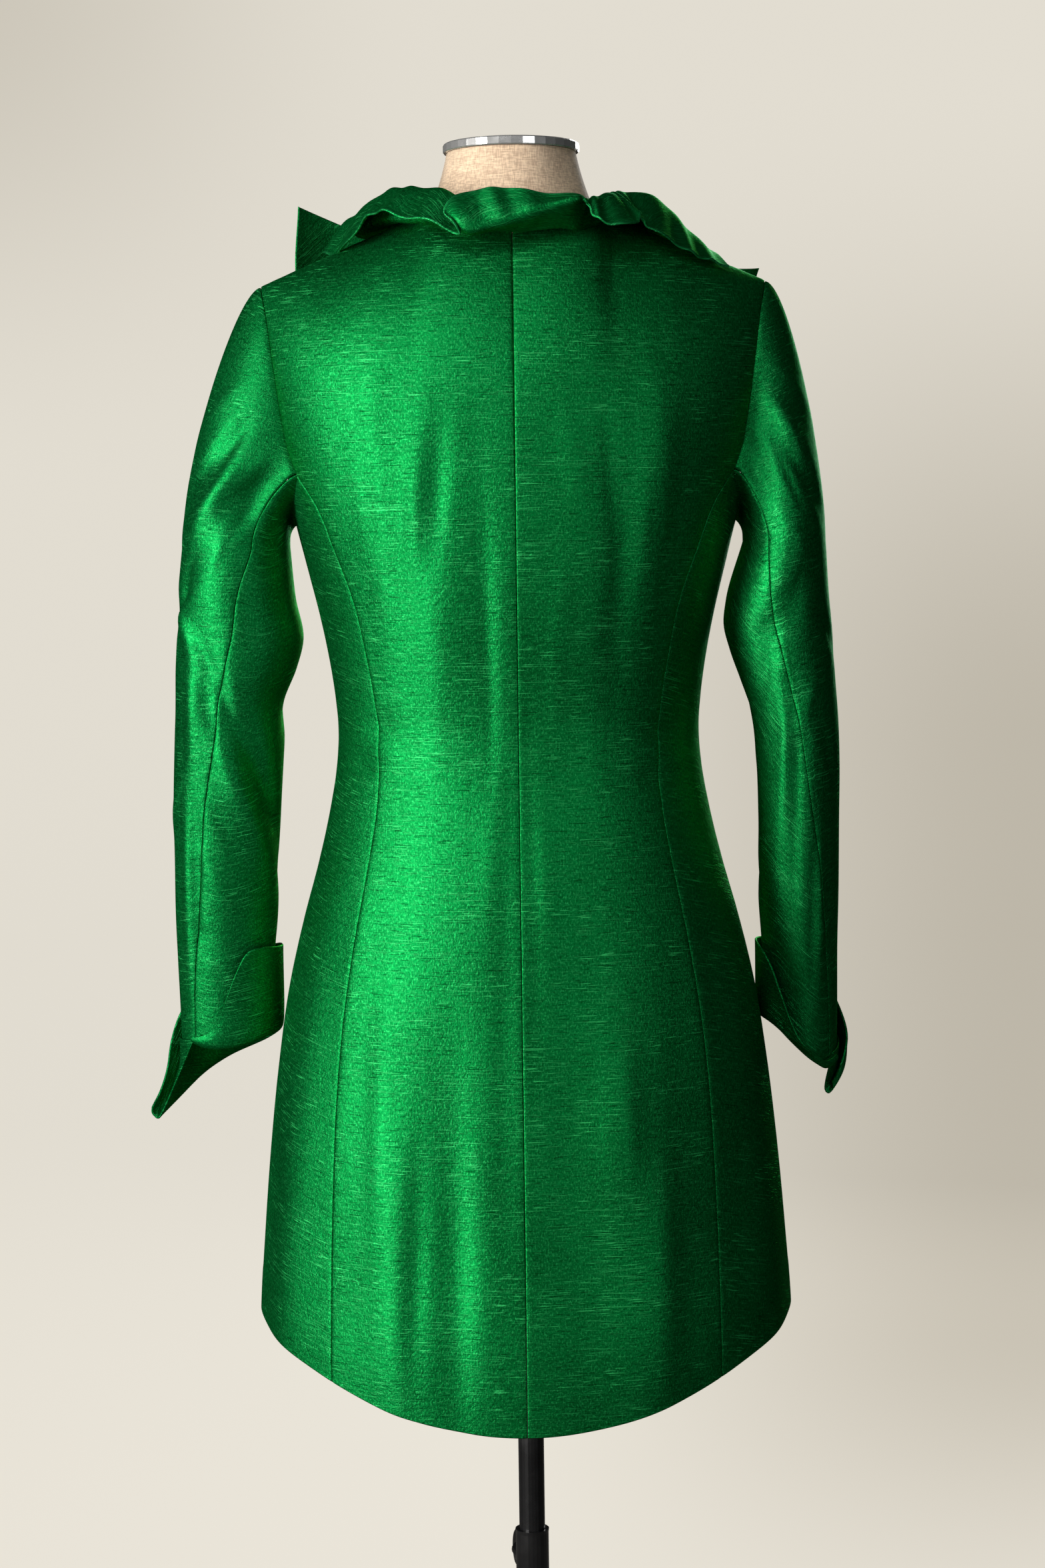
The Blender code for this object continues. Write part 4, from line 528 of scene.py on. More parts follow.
def clothWall(name, face, normal, look, wall=None, sewn=(0, 0, 0, 0), rimThreads=0.0):
    # two grids half a wall either side of the middle one, drawn together close to every edge by
    # a quarter circle; sewn edges sink by a bell and pucker by a sine that dies away
    wall = wall or cloth["wall"]
    across, down = alongGrid(face)
    fromEdges = [across, across[:, -1:] - across, down[-1:] - down, down]
    along = [down, down, across, across]
    rise = np.zeros(face.shape[:2])
    for weight, away, run in zip(sewn, fromEdges, along):
        drift = 1.7 * np.sin(run / cloth["puckerDrift"] + look["phase"])
        wave = np.sin(run / cloth["puckerWave"] + drift + look["phase"])
        pucker = look["pucker"] * wave * np.exp(-away / cloth["puckerReach"]) * (1 - np.exp(-away / 0.002))
        rise += weight * (pucker - look["dip"] * np.exp(-(away / cloth["seamDip"]) ** 2))
    if look.get("hem"):
        rise += look["hem"] * (np.exp(-((down - cloth["hemTurn"]) / cloth["hemRidge"]) ** 2)
                               + 0.7 * softStep((cloth["hemTurn"] - down) / 0.004))
    near = np.minimum.reduce(fromEdges)
    rounded = np.sqrt(np.clip(1 - (1 - np.clip(near / (wall * cloth["rimShare"]), 0, 1)) ** 2, 0, 1))
    half = (wall / 2 * blend(cloth["rimStart"], 1, rounded))[..., None]
    if rimThreads:
        row = np.exp(-((fromEdges[2] - cloth["threadRow"]) / cloth["threadWidth"]) ** 2)
        half = half + (rimThreads * row)[..., None]
    middle = face - normal * wall / 2 + normal * rise[..., None]
    piece = gridSolid(name, middle + normal * half, middle - normal * half, normal,
                      across - across.mean(), -face[..., 2] if look.get("level") else down, look)
    if look.get("overlock"):
        threads = np.exp(-(fromEdges[2] / cloth["overlockWidth"]) ** 4).ravel()
        layer = piece.data.attributes.new("overlock", "FLOAT", "POINT")
        layer.data.foreach_set("value", np.concatenate([threads, threads]).astype(np.float32))
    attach(piece, "upper")
    return piece


def gridSolid(name, outer, inner, normal, u, v, look):
    # quads between neighbouring rows and columns on both sides, and one band round the rim
    rows, columns = outer.shape[:2]
    count = rows * columns
    index = np.arange(count).reshape(rows, columns)
    quads = np.stack([index[:-1, :-1], index[:-1, 1:], index[1:, 1:], index[1:, :-1]], -1).reshape(-1, 4)
    crossing = np.cross(outer[:-1, 1:] - outer[:-1, :-1], outer[1:, :-1] - outer[:-1, :-1])
    if (crossing * normal[:-1, :-1]).sum() < 0:
        quads = quads[:, ::-1]
        index = index[:, ::-1]
    rim = np.concatenate([index[0, :-1], index[:-1, -1], index[-1, :0:-1], index[:0:-1, 0]])
    after = np.roll(rim, -1)
    band = np.stack([after, rim, rim + count, after + count], -1)
    faces = np.concatenate([quads, quads[:, ::-1] + count, band])
    points = np.concatenate([outer.reshape(-1, 3), inner.reshape(-1, 3)]) + [cloth["formShift"], 0, 0]
    a = math.radians(look.get("grain", 0.0))
    place = np.stack([u * math.cos(a) - v * math.sin(a) + look["phase"] * 0.37,
                      u * math.sin(a) + v * math.cos(a) + look["phase"] * 0.61], -1).reshape(-1, 2)
    return meshFrom(name, points, faces, np.concatenate([place, place]), silk)


def ringFaces(index):
    # quads between each ring of points and the next, closed all round
    after = np.roll(index, -1, 1)
    return np.stack([index[:-1], after[:-1], after[1:], index[1:]], -1).reshape(-1, 4)


def meshFrom(name, points, faces, place, material):
    mesh = bpy.data.meshes.new(name)
    mesh.vertices.add(len(points))
    mesh.vertices.foreach_set("co", np.asarray(points, np.float32).ravel())
    flat = np.asarray(faces, np.int32)
    mesh.loops.add(flat.size)
    mesh.loops.foreach_set("vertex_index", flat.ravel())
    mesh.polygons.add(len(flat))
    mesh.polygons.foreach_set("loop_start", np.arange(len(flat), dtype=np.int32) * flat.shape[1])
    mesh.update(calc_edges=True)
    mesh.validate()
    if place is not None:
        layer = mesh.uv_layers.new(name="clothPlace")
        at = np.empty(len(mesh.loops), np.int32)
        mesh.loops.foreach_get("vertex_index", at)
        layer.data.foreach_set("uv", np.asarray(place, np.float32)[at].ravel())
    mesh.shade_smooth()
    mesh.materials.append(material)
    piece = bpy.data.objects.new(name, mesh)
    bpy.context.scene.collection.objects.link(piece)
    return piece


# materials

def newGroup(name, inputs, outputs):
    group = bpy.data.node_groups.new(name, "ShaderNodeTree")
    for title, kind, value in inputs:
        socket = group.interface.new_socket(name=title, in_out="INPUT", socket_type=kind)
        if value is not None:
            socket.default_value = value
    for title, kind in outputs:
        group.interface.new_socket(name=title, in_out="OUTPUT", socket_type=kind)
    return group, group.nodes.new("NodeGroupInput"), group.nodes.new("NodeGroupOutput")


def node(tree, kind, settings=None, **links):
    # inputs go by their name, or by i and their number; a socket is linked, a value is set
    made = tree.nodes.new("ShaderNode" + kind)
    for key, value in (settings or {}).items():
        setattr(made, key, value)
    for key, value in links.items():
        socket = made.inputs[int(key[1:]) if key[1:].isdigit() else key]
        if isinstance(value, bpy.types.NodeSocket):
            tree.links.new(value, socket)
        else:
            socket.default_value = value
    return made


def noiseOf(tree, vector, scale, detail=2.0, rough=0.5, stretch=(1, 1, 1), shift=(0, 0, 0)):
    placed = node(tree, "Mapping", None, Vector=vector, Scale=stretch, Location=shift)
    return node(tree, "TexNoise", None, Vector=placed.outputs[0], Scale=scale, Detail=detail,
                Roughness=rough).outputs[0]


def remap(tree, value, low, high, toLow=0.0, toHigh=1.0):
    # a soft step from one value to another between low and high
    return node(tree, "MapRange", {"interpolation_type": "SMOOTHSTEP"}, i0=value, i1=low, i2=high, i3=toLow,
                i4=toHigh).outputs[0]


def maths(tree, work, a, b=0.0):
    return node(tree, "Math", {"operation": work}, i0=a, i1=b).outputs[0]


def mixColour(tree, factor, a, b):
    return node(tree, "Mix", {"data_type": "RGBA"}, i0=factor, i6=a, i7=b).outputs[2]


def slubWeaveGroup():
    # long thick threads across the cloth at random, fine even threads along it
    group, given, out = newGroup("slub weave", [
        ("Place", "NodeSocketVector", None), ("Base", "NodeSocketColor", (0.01, 0.2, 0.08, 1)),
        ("Bright", "NodeSocketColor", (0.03, 0.5, 0.2, 1)), ("Dark", "NodeSocketColor", (0.0, 0.05, 0.02, 1)),
    ], [("Color", "NodeSocketColor"), ("Roughness", "NodeSocketFloat"), ("Height", "NodeSocketFloat")])
    place, base, bright, dark = (given.outputs[title] for title in ("Place", "Base", "Bright", "Dark"))
    slub = noiseOf(group, place, 1.0, 1.0, 0.5, (52, 1050, 1))
    slubFine = noiseOf(group, place, 1.0, 1.0, 0.5, (130, 1500, 1), (3.1, 7.7, 0))
    slubLong = noiseOf(group, place, 1.0, 1.0, 0.5, (16, 900, 1), (9.3, 2.2, 0))
    patchy = noiseOf(group, place, 22.0, 2.0, 0.5, (0.6, 1.4, 1), (2.2, 5.1, 0))
    grain = noiseOf(group, place, 1.0, 2.0, 0.6, (820, 430, 1), (1.3, 4.4, 0))
    crush = noiseOf(group, place, 210.0, 4.0, 0.68, (1, 1.1, 1), (5.1, 0.7, 0))
    cloud = noiseOf(group, place, 14.0, 3.0, 0.55, (1, 0.6, 1))
    patch = remap(group, patchy, 0.42, 0.62, 0.12, 1.0)
    thick = maths(group, "MULTIPLY", remap(group, slub, 0.625, 0.67), patch)
    thin = remap(group, slubFine, 0.62, 0.74)
    drawn = maths(group, "MULTIPLY", remap(group, slubLong, 0.645, 0.70), patch)
    deep = remap(group, slub, 0.36, 0.28)
    colour = base
    for amount, toward in ((remap(group, cloud, 0.35, 0.75, 0.0, 0.30), dark),
                           (remap(group, grain, 0.50, 0.72, 0.0, 0.42), bright),
                           (remap(group, grain, 0.48, 0.28, 0.0, 0.50), dark),
                           (maths(group, "MULTIPLY", deep, 0.65), dark),
                           (maths(group, "MULTIPLY", thin, 0.35), bright),
                           (maths(group, "MULTIPLY", drawn, 0.60), bright),
                           (maths(group, "MULTIPLY", thick, 0.90), bright)):
        colour = mixColour(group, amount, colour, toward)
    rough = maths(group, "ADD", remap(group, crush, 0.3, 0.7, 0.42, 0.54), maths(group, "MULTIPLY", thick, 0.10))
    height = maths(group, "MULTIPLY", thick, 0.9)
    for layer, weight in ((drawn, 0.4), (grain, 1.0), (deep, -0.5), (crush, 2.6)):
        height = maths(group, "ADD", height, maths(group, "MULTIPLY", layer, weight))
    for title, value in (("Color", colour), ("Roughness", rough), ("Height", height)):
        group.links.new(value, out.inputs[title])
    return group


def speckGroup():
    # fine dust and faint handling marks: two noises, one large and one small
    group, given, out = newGroup("handling marks", [
        ("Place", "NodeSocketVector", None), ("Base", "NodeSocketColor", (0.5, 0.5, 0.5, 1)),
        ("Marks", "NodeSocketColor", (0.7, 0.7, 0.7, 1)), ("Amount", "NodeSocketFloat", 0.3),
        ("Smooth", "NodeSocketFloat", 0.1), ("Worn", "NodeSocketFloat", 0.3),
    ], [("Color", "NodeSocketColor"), ("Roughness", "NodeSocketFloat"), ("Height", "NodeSocketFloat")])
    place = given.outputs["Place"]
    cloud = remap(group, noiseOf(group, place, 35.0, 4.0, 0.6), 0.40, 0.75)
    grain = noiseOf(group, place, 900.0, 2.0, 0.5)
    factor = maths(group, "MULTIPLY", cloud, given.outputs["Amount"])
    colour = mixColour(group, factor, given.outputs["Base"], given.outputs["Marks"])
    rough = node(group, "MapRange", None, i0=cloud, i1=0.0, i2=1.0, i3=given.outputs["Smooth"],
                 i4=given.outputs["Worn"]).outputs[0]
    for title, value in (("Color", colour), ("Roughness", rough), ("Height", grain)):
        group.links.new(value, out.inputs[title])
    return group


def newMaterial(name, **fixed):
    material = bpy.data.materials.new(name)
    material.use_nodes = True
    shader = material.node_tree.nodes["Principled BSDF"]
    for key, value in fixed.items():
        shader.inputs[key.replace("_", " ")].default_value = value
    return material, material.node_tree, shader


def join(tree, group, shader, strength, distance, **given):
    # a group's colour, roughness and height, linked to the shader, the height through a bump
    made = node(tree, "Group", {"node_tree": group}, **given)
    tree.links.new(made.outputs["Color"], shader.inputs["Base Color"])
    tree.links.new(made.outputs["Roughness"], shader.inputs["Roughness"])
    bump = node(tree, "Bump", None, Height=made.outputs["Height"], Strength=strength, Distance=distance)
    tree.links.new(bump.outputs[0], shader.inputs["Normal"])
    return made


slubWeave, marks = slubWeaveGroup(), speckGroup()

silkLook = {"base": (0.002, 0.200, 0.040, 1), "bright": (0.045, 0.600, 0.165, 1), "dark": (0.0, 0.035, 0.005, 1),
            "overlock": (0.04, 0.42, 0.15, 1), "metallic": 0.88, "bump": 0.75, "thread": 0.0003}


def silkMaterial():
    material, tree, shader = newMaterial("emerald dupioni silk", Metallic=silkLook["metallic"],
                                         Specular_IOR_Level=0.2, Specular_Tint=(0.12, 0.62, 0.26, 1))
    place = node(tree, "UVMap", {"uv_map": "clothPlace"}).outputs[0]
    made = join(tree, slubWeave, shader, silkLook["bump"], silkLook["thread"], Place=place,
                Base=silkLook["base"], Bright=silkLook["bright"], Dark=silkLook["dark"])
    # overlock threads along a free edge: diagonal stitches, paler than the silk
    threads = node(tree, "Attribute", {"attribute_name": "overlock"}).outputs["Fac"]
    stitch = noiseOf(tree, place, 1.0, 1.0, 0.5, (900, 260, 1))
    amount = maths(tree, "MULTIPLY", threads, remap(tree, stitch, 0.4, 0.6, 0.0, 0.55))
    colour = mixColour(tree, amount, made.outputs["Color"], silkLook["overlock"])
    tree.links.new(colour, shader.inputs["Base Color"])
    return material


def linenMaterial():
    # plain weave: the mean of two noises, one drawn out along each set of threads
    material, tree, shader = newMaterial("natural linen canvas", Sheen_Weight=0.3, Sheen_Roughness=0.5)
    place = node(tree, "TexCoord").outputs["Object"]
    threadA = noiseOf(tree, place, 1.0, 2.0, 0.5, (1300, 1300, 160))
    threadB = noiseOf(tree, place, 1.0, 2.0, 0.5, (160, 160, 1500))
    cloud = noiseOf(tree, place, 18.0, 4.0, 0.6)
    weave = maths(tree, "ADD", maths(tree, "MULTIPLY", threadA, 0.5), maths(tree, "MULTIPLY", threadB, 0.5))
    colour = mixColour(tree, remap(tree, weave, 0.38, 0.62), (0.58, 0.40, 0.27, 1), (0.93, 0.70, 0.48, 1))
    colour = mixColour(tree, remap(tree, cloud, 0.4, 0.75, 0.0, 0.35), colour, (0.55, 0.44, 0.31, 1))
    tree.links.new(colour, shader.inputs["Base Color"])
    tree.links.new(remap(tree, weave, 0.3, 0.7, 0.9, 0.75), shader.inputs["Roughness"])
    bump = node(tree, "Bump", None, Height=weave, Strength=0.6, Distance=0.0006)
    tree.links.new(bump.outputs[0], shader.inputs["Normal"])
    return material


def metalMaterial(name, base, worn, smooth, rubbed, amount, **fixed):
    material, tree, shader = newMaterial(name, **fixed)
    place = node(tree, "TexCoord").outputs["Object"]
    join(tree, marks, shader, 0.05, 0.0002, Place=place, Base=base, Marks=worn, Amount=amount,
         Smooth=smooth, Worn=rubbed)
    return material


silk, linen = silkMaterial(), linenMaterial()
standFinishes = {
    "neck_cap": metalMaterial("polished plate", (0.80, 0.80, 0.79, 1), (0.62, 0.62, 0.62, 1), 0.20, 0.32, 0.4,
                              Metallic=0.75),
    "pole": metalMaterial("satin black steel", (0.014, 0.014, 0.015, 1), (0.05, 0.05, 0.05, 1), 0.26, 0.42, 0.4,
                          Metallic=0.3),
    "outer_tube": metalMaterial("gloss black steel", (0.006, 0.006, 0.007, 1), (0.03, 0.03, 0.03, 1), 0.08, 0.22,
                                0.3, Coat_Weight=0.6, Coat_Roughness=0.05),
    "base_plate": metalMaterial("black enamel", (0.008, 0.008, 0.009, 1), (0.05, 0.05, 0.05, 1), 0.14, 0.35, 0.4,
                                Coat_Weight=0.5, Coat_Roughness=0.08),
    "clamp_screw": metalMaterial("dark plated steel", (0.03, 0.03, 0.032, 1), (0.12, 0.12, 0.12, 1), 0.18, 0.35,
                                 0.5, Metallic=0.8),
}
for nodeName, finish in standFinishes.items():
    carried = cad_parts[nodeName]
    if not carried.material_slots:
        carried.data.materials.append(finish)
    for place in carried.material_slots:
        place.material = finish
print("materials ready")


# jacket body

def bodyPiece(name, grids, side, phase, shoulder=0, sewn=(1, 1, 0.7, 0), **look):
    # a panel of the torso's surface, its top edge drawn back by half the shoulder seam's gap
    turn, height = grids
    turn = side * insetColumns(turn, height)
    face, normal = torso(turn, height), torsoNormal(turn, height)
    if shoulder:
        ridge = np.abs(face[-1, :, 0]) >= shape["neckX"] - 0.001
        crestY = crest(face[-1, :, 0], shoulder < 0)[1]
        face[-1, ridge, 1] = crestY[ridge] + shoulder * cloth["seamGap"] / 2
    look = {"phase": phase, "pucker": 0.00022, "dip": 0.00028, "hem": 0.00025, "held": "draped", "level": True,
            "restsOn": ["formCover"], **look}
    return clothWall(name, face, normal, look, sewn=sewn)


formCut = {"inset": 0.0023, "under": 0.0034, "shoulderIn": 0.007, "foot": 0.7, "join": 1.19, "joinHalf": 0.1735,
           "rimRadius": 0.0505, "rimShift": 0.004, "rimHeight": 1.4935, "waist": 0.0016, "weld": 0.00003}


def formCover():
    # the torso's rings, closed over the shoulders, with a round neck drawn up from its hole
    inset, under, wide = formCut["inset"], formCut["under"], shape["shoulderX"] - formCut["shoulderIn"]
    corner = math.asin((shape["neckX"] - 2.5 * inset) / wide)
    quarter = np.concatenate([np.linspace(0, corner, 15)[:-1], np.linspace(corner, math.pi / 2, 25)])
    half = np.concatenate([quarter, math.pi - quarter[-2::-1]])
    t = np.concatenate([half[:-1], half[:-1] + math.pi])
    front = np.cos(t) < 0
    rings = []
    for height in np.linspace(formCut["foot"], formCut["join"], 60):
        rings.append(xyz(read(formTable, "half_width", height) * np.sin(t),
                         depthAt(formTable, front, height) * np.cos(t), height))
    for s in np.linspace(0, 1, 34) ** 0.8:
        x = blend(formCut["joinHalf"], wide, softStep(s * 1.2)) * np.sin(t)
        top, topY = crest(x, front, inset)
        height = blend(shape["blade"], top, s)
        half = read(bodyTable, "half_width", height) - under
        depth = depthAt(bodyTable, front, height) - under
        y = depth * np.sqrt(np.clip(1 - (x / half) ** 2, 0, 1)) * (1 - np.abs(np.sin(t)) ** 10) ** 0.1
        over = closing(upShare(height, top), x)
        rings.append(xyz(x, topY + (y * np.sign(np.cos(t)) - topY) * over, height))
    points = np.array(rings)
    index = np.arange(points[..., 0].size).reshape(-1, len(t))
    # the neck hole's edge, in order round it: the back's part, then the front's
    limit = math.sin(corner) + 1e-6
    low = np.abs(np.sin(t)) <= limit
    inOrder = (t > math.pi * 1.5, t < math.pi / 2, (t > math.pi / 2) & (t < math.pi * 1.5))
    parts = [np.flatnonzero(low & part) for part in inOrder]
    order = np.concatenate([parts[0], parts[1], parts[2][1:-1]])
    hole = points[-1][order]
    heading = np.arctan2(hole[:, 0], hole[:, 1] - shape["neckY"])
    radius = formCut["rimRadius"]
    rim = xyz(radius * np.sin(heading), radius * np.cos(heading) + formCut["rimShift"], formCut["rimHeight"])
    rise = np.linspace(0, 1, 15)[1:]
    waist = -formCut["waist"] * np.sin(rise * math.pi)
    away = unit((hole + rim) / 2 * [1, 1, 0])
    climb = softStep(rise) * 0.35 + rise * 0.65
    neck = np.array([hole + (rim - hole) * r + away * w for r, w in zip(climb, waist)])
    body = points.reshape(-1, 3)
    neckIndex = len(body) + np.arange(neck.shape[0] * len(order)).reshape(-1, len(order))
    faces = np.concatenate([ringFaces(index), ringFaces(np.vstack([index[-1][order], neckIndex]))])
    everything = np.concatenate([body, neck.reshape(-1, 3)]) + [cloth["formShift"], 0, 0]
    piece = meshFrom("formCover", everything, faces, None, linen)
    work = bmesh.new()
    work.from_mesh(piece.data)
    bmesh.ops.remove_doubles(work, verts=work.verts, dist=formCut["weld"])
    bmesh.ops.holes_fill(work, edges=[e for e in work.edges if e.is_boundary], sides=0)
    bmesh.ops.recalc_face_normals(work, faces=work.faces)
    if work.calc_volume(signed=True) < 0:
        bmesh.ops.reverse_faces(work, faces=work.faces)
    work.to_mesh(piece.data)
    work.free()
    piece.data.shade_smooth()
    piece.data.set_sharp_from_angle(angle=math.radians(50))
    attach(piece, "upper")
    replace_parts(piece, "dress_form")
    return piece


formCover()
for word, side, phase in (("left", 1, 0.3), ("right", -1, 2.1)):
    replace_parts(bodyPiece("backPanel_" + word, backGrid(), side, phase, 1), "back_" + word)
    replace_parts(bodyPiece("sideBackPanel_" + word, sideBackGrid(), side, phase + 0.9, grain=side * 12.0),
                "side_back_" + word)
    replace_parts(bodyPiece("frontPanel_" + word, frontGrid(), side, phase + 1.7, -1, sewn=(1, 0, 0.7, 0)),
                "front_" + word)
print("body done")


# sleeves

sleeveCut = {"headFoot": 1.19, "foot": 0.79, "elbow": 7, "front": 17, "columns": 23, "frontTurn": 236.0,
             "seamShare": 0.012, "columnWidth": 0.0125, "hang": 0.0028, "tubeLength": 0.4, "capLength": 0.15,
             "leave": (0.012, 0.22), "arrive": (0.01, 0.9), "normalFade": 5.0}


def armhole(side, c):
    # c counts 0 at the shoulder, 7 at the blade, 14 under the arm and 23 back at the shoulder
    c = c % sleeveCut["columns"]
    down = blend(shape["blade"], shape["shoulder"], (np.clip(7 - c, 0, 7) / 7) ** 0.8)
    backTurn = turnAt(read(backArmhole, "out", down), down)
    u = np.clip((c - 7) / 7, 0, 1)
    low = blend(shape["blade"], shape["underarm"], np.sin(u * math.pi / 2) ** 0.8)
    start = turnAt(backArmhole["out"][0], shape["blade"])
    up = np.where(c < 16, np.interp(c, [14, 15, 16], [shape["underarm"], shape["armholeStep"], shape["blade"]]),
                  blend(shape["blade"], shape["shoulder"], (np.clip(c - 16, 0, 7) / 7) ** 0.8))
    frontTurn = turnAt(read(frontArmhole, "out", up), up, front=True)
    turn = side * np.where(c <= 7, backTurn, np.where(c <= 14, blend(start, shape["sideSeam"], u), frontTurn))
    height = np.where(c <= 7, down, np.where(c <= 14, low, up))
    return torso(turn, height, False), torsoNormal(turn, height)


def armholeEdge(side, c):
    # the armhole's points drawn outward by the seam's gap
    point, normal = armhole(side, c)
    along = armhole(side, c + 0.5)[0] - armhole(side, c - 0.5)[0]
    pull = unit(np.cross(normal, along))
    pull = pull * np.sign(pull @ np.array([side, 0.0, 1.0]))[:, None]
    return point + pull * cloth["seamGap"] * 1.2, normal


def sleeveTurn(c, height, elbow):
    # share of the way round, held to the elbow seam and the front seam
    seam, first, last = read(elbow, "turn", height), sleeveCut["elbow"], sleeveCut["front"]
    whole = np.floor(c / sleeveCut["columns"])
    c = c - whole * sleeveCut["columns"]
    under = blend(seam, sleeveCut["frontTurn"], (c - first) / (last - first))
    upper = blend(sleeveCut["frontTurn"], 360.0, (c - last) / (sleeveCut["columns"] - last))
    return np.where(c <= first, seam * c / first, np.where(c <= last, under, upper)) + 360 * whole


def roundSleeve(part, turn, out, height):
    # an ellipse at each height, made larger by the distance out
    a, tab = np.radians(turn), part["tube"]
    x = read(tab, "across", height) + (read(tab, "half_across", height) + out) * np.cos(a)
    y = read(tab, "along", height) + (read(tab, "half_along", height) + out) * np.sin(a)
    return xyz(part["side"] * x, y, height)


def sleeveTube(part, turn, height):
    # the ellipses pushed out or in by the creases, the small ones dying away above the hem
    small = bells(part["small"], turn % 360, height, False) * softStep((height - 0.80) / 0.05)
    return roundSleeve(part, turn, bells(part["creases"], turn % 360, height, False) + small, height)


def sleeveGrid(part, c):
    # a curve from the armhole that leaves outward and arrives straight down, then the tube
    side, cuff = part["side"], part["cuff"]
    head, headNormal = armholeEdge(side, c)
    share = shares(sleeveCut["tubeLength"], low=False)
    levels = blend(sleeveCut["headFoot"], sleeveCut["foot"], share)
    turn = np.array([sleeveTurn(c, level, part["elbow"]) for level in levels])
    turned = turn % 360
    # the edge hangs a little way down inside the cuff
    foot = read(cuff, "hem", np.where(turned < cuff["turn"][0], turned + 360, turned)) - sleeveCut["hang"]
    tube = sleeveTube(part, turn, blend(sleeveCut["headFoot"], foot, share[:, None]))
    bicep = roundSleeve(part, turn[0], 0.0, sleeveCut["headFoot"])
    a = np.radians(turn[0])
    drop = head[:, 2] - bicep[:, 2]
    (leaveFirst, leaveMore), (arriveFirst, arriveMore) = sleeveCut["leave"], sleeveCut["arrive"]
    leave = unit(xyz(side, 0.35 * np.sin(a), -0.1)) * (leaveFirst + leaveMore * drop)[:, None]
    arrive = xyz(0.0, 0.0, -(arriveFirst + arriveMore * drop))
    t = shares(sleeveCut["capLength"], high=False)[:-1, None, None]
    cap = (head * (1 + 2 * t) * (1 - t) ** 2 + leave * t * (1 - t) ** 2
           + bicep * t * t * (3 - 2 * t) - arrive * t * t * (1 - t))
    lift = softStep(t[..., 0] / 0.5) * (bells(part["creases"], turn[0] % 360, cap[..., 2], False)
                                        + bells(part["small"], turn[0] % 360, cap[..., 2], False))
    cap = cap + lift[..., None] * xyz(side * np.cos(a), np.sin(a), 0.0)
    grid = np.concatenate([cap, tube])
    normal = gridNormal(grid, side)
    fade = np.exp(-np.arange(len(grid)) / sleeveCut["normalFade"])[:, None, None]
    return grid, unit(normal * (1 - fade) + headNormal * fade)


def sleevePiece(name, part, low, high, phase):
    # the sleeve's surface between two seams, drawn in a little at both
    c = blend(low, high, shares((high - low) * sleeveCut["columnWidth"]))
    c[[0, -1]] += [sleeveCut["seamShare"], -sleeveCut["seamShare"]]
    face, normal = sleeveGrid(part, c)
    look = {"phase": phase, "pucker": 0.0003, "dip": 0.0003, "held": "hung", "restsOn": ["formCover"]}
    return clothWall(name, face[::-1], normal[::-1], look, sewn=(1, 1, 0.8, 0))


cuffCut = {"gap": 0.0005, "across": 0.26, "step": 0.0026, "sag": -0.8, "knots": [0.0, 0.32, 0.42, 0.52, 1.0]}


def cuffPiece(name, part, phase):
    # at each station a curve from the hem down to the fold, round it and up to the free edge
    cuff, side = part["cuff"], part["side"]
    stations = np.arange(len(cuff["turn"]), dtype=float)
    at = shares(cuffCut["across"], step=cuffCut["step"]) * stations[-1]
    line = {key: curveThrough(stations, cuff[key], at) for key in cuff}
    start = roundSleeve(part, line["turn"], cloth["wall"] / 2 + cuffCut["gap"], line["hem"])
    fold = roundSleeve(part, line["fold_turn"], line["fold_out"], line["fold_height"])
    edge = roundSleeve(part, line["edge_turn"], line["edge_out"], line["edge_height"])
    a = np.radians(line["fold_turn"])
    out = xyz(side * np.cos(a), np.sin(a), 0.0) * line["roll"][:, None]
    sag = np.array([0, 0, cuffCut["sag"]]) * line["roll"][:, None]
    path = np.stack([start, fold, fold + out + sag, fold + 2 * out, edge])
    flap = 0.52 + 0.48 * shares(0.05, low=False, step=0.0028)[1:]
    share = np.concatenate([shares(0.06)[:6], np.linspace(0.09, 0.30, 8), np.linspace(0.32, 0.52, 11), flap])
    grid = np.swapaxes(curveThrough(np.array(cuffCut["knots"]), path, share), 0, 1)
    normal = gridNormal(grid, side)
    face = np.swapaxes(grid + normal * cloth["wall"] / 2, 0, 1)
    look = {"phase": phase, "pucker": 0.0002, "dip": 0.0004, "held": "folded",
            "restsOn": ["upperSleeve_" + name.split("_")[1]]}
    return clothWall(name, face, np.swapaxes(normal, 0, 1), look)


for word, phase in (("left", 0.5), ("right", 2.6)):
    part = sleeves[word]
    elbow, front = sleeveCut["elbow"], sleeveCut["front"]
    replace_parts(sleevePiece("upperSleeve_" + word, part, front, elbow + sleeveCut["columns"], phase),
                "upper_sleeve_" + word)
    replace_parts(sleevePiece("underSleeve_" + word, part, elbow, front, phase + 0.8), "under_sleeve_" + word)
    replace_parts(cuffPiece("turnedCuff_" + word, part, phase + 1.5), "cuff_" + word)
print("sleeves done")


# collar and lapels

collarCut = {"lift": 0.0009, "foldTop": 1.424, "foldOut": 0.0012, "level": 1.335}


def neckSeam(q):
    # q is 0 at centre back, 1 at the left neck point and 2 a little down the front edge
    side = np.where(q < 0, -1.0, 1.0)
    x = shape["neckX"] * np.sin(np.clip(np.abs(q), 0, 1) * math.pi / 2)
    height, y = crest(x, False)
    down = shape["neck"] - 0.1 * np.clip(np.abs(q) - 1, 0, 1)
    frontPoint = torso(turnAt(read(neckline, "out", down), down, front=True), down, False)
    over = np.abs(q) > 1
    return xyz(side * np.where(over, frontPoint[:, 0], x), np.where(over, frontPoint[:, 1], y),
               np.where(over, down, height) + collarCut["lift"])


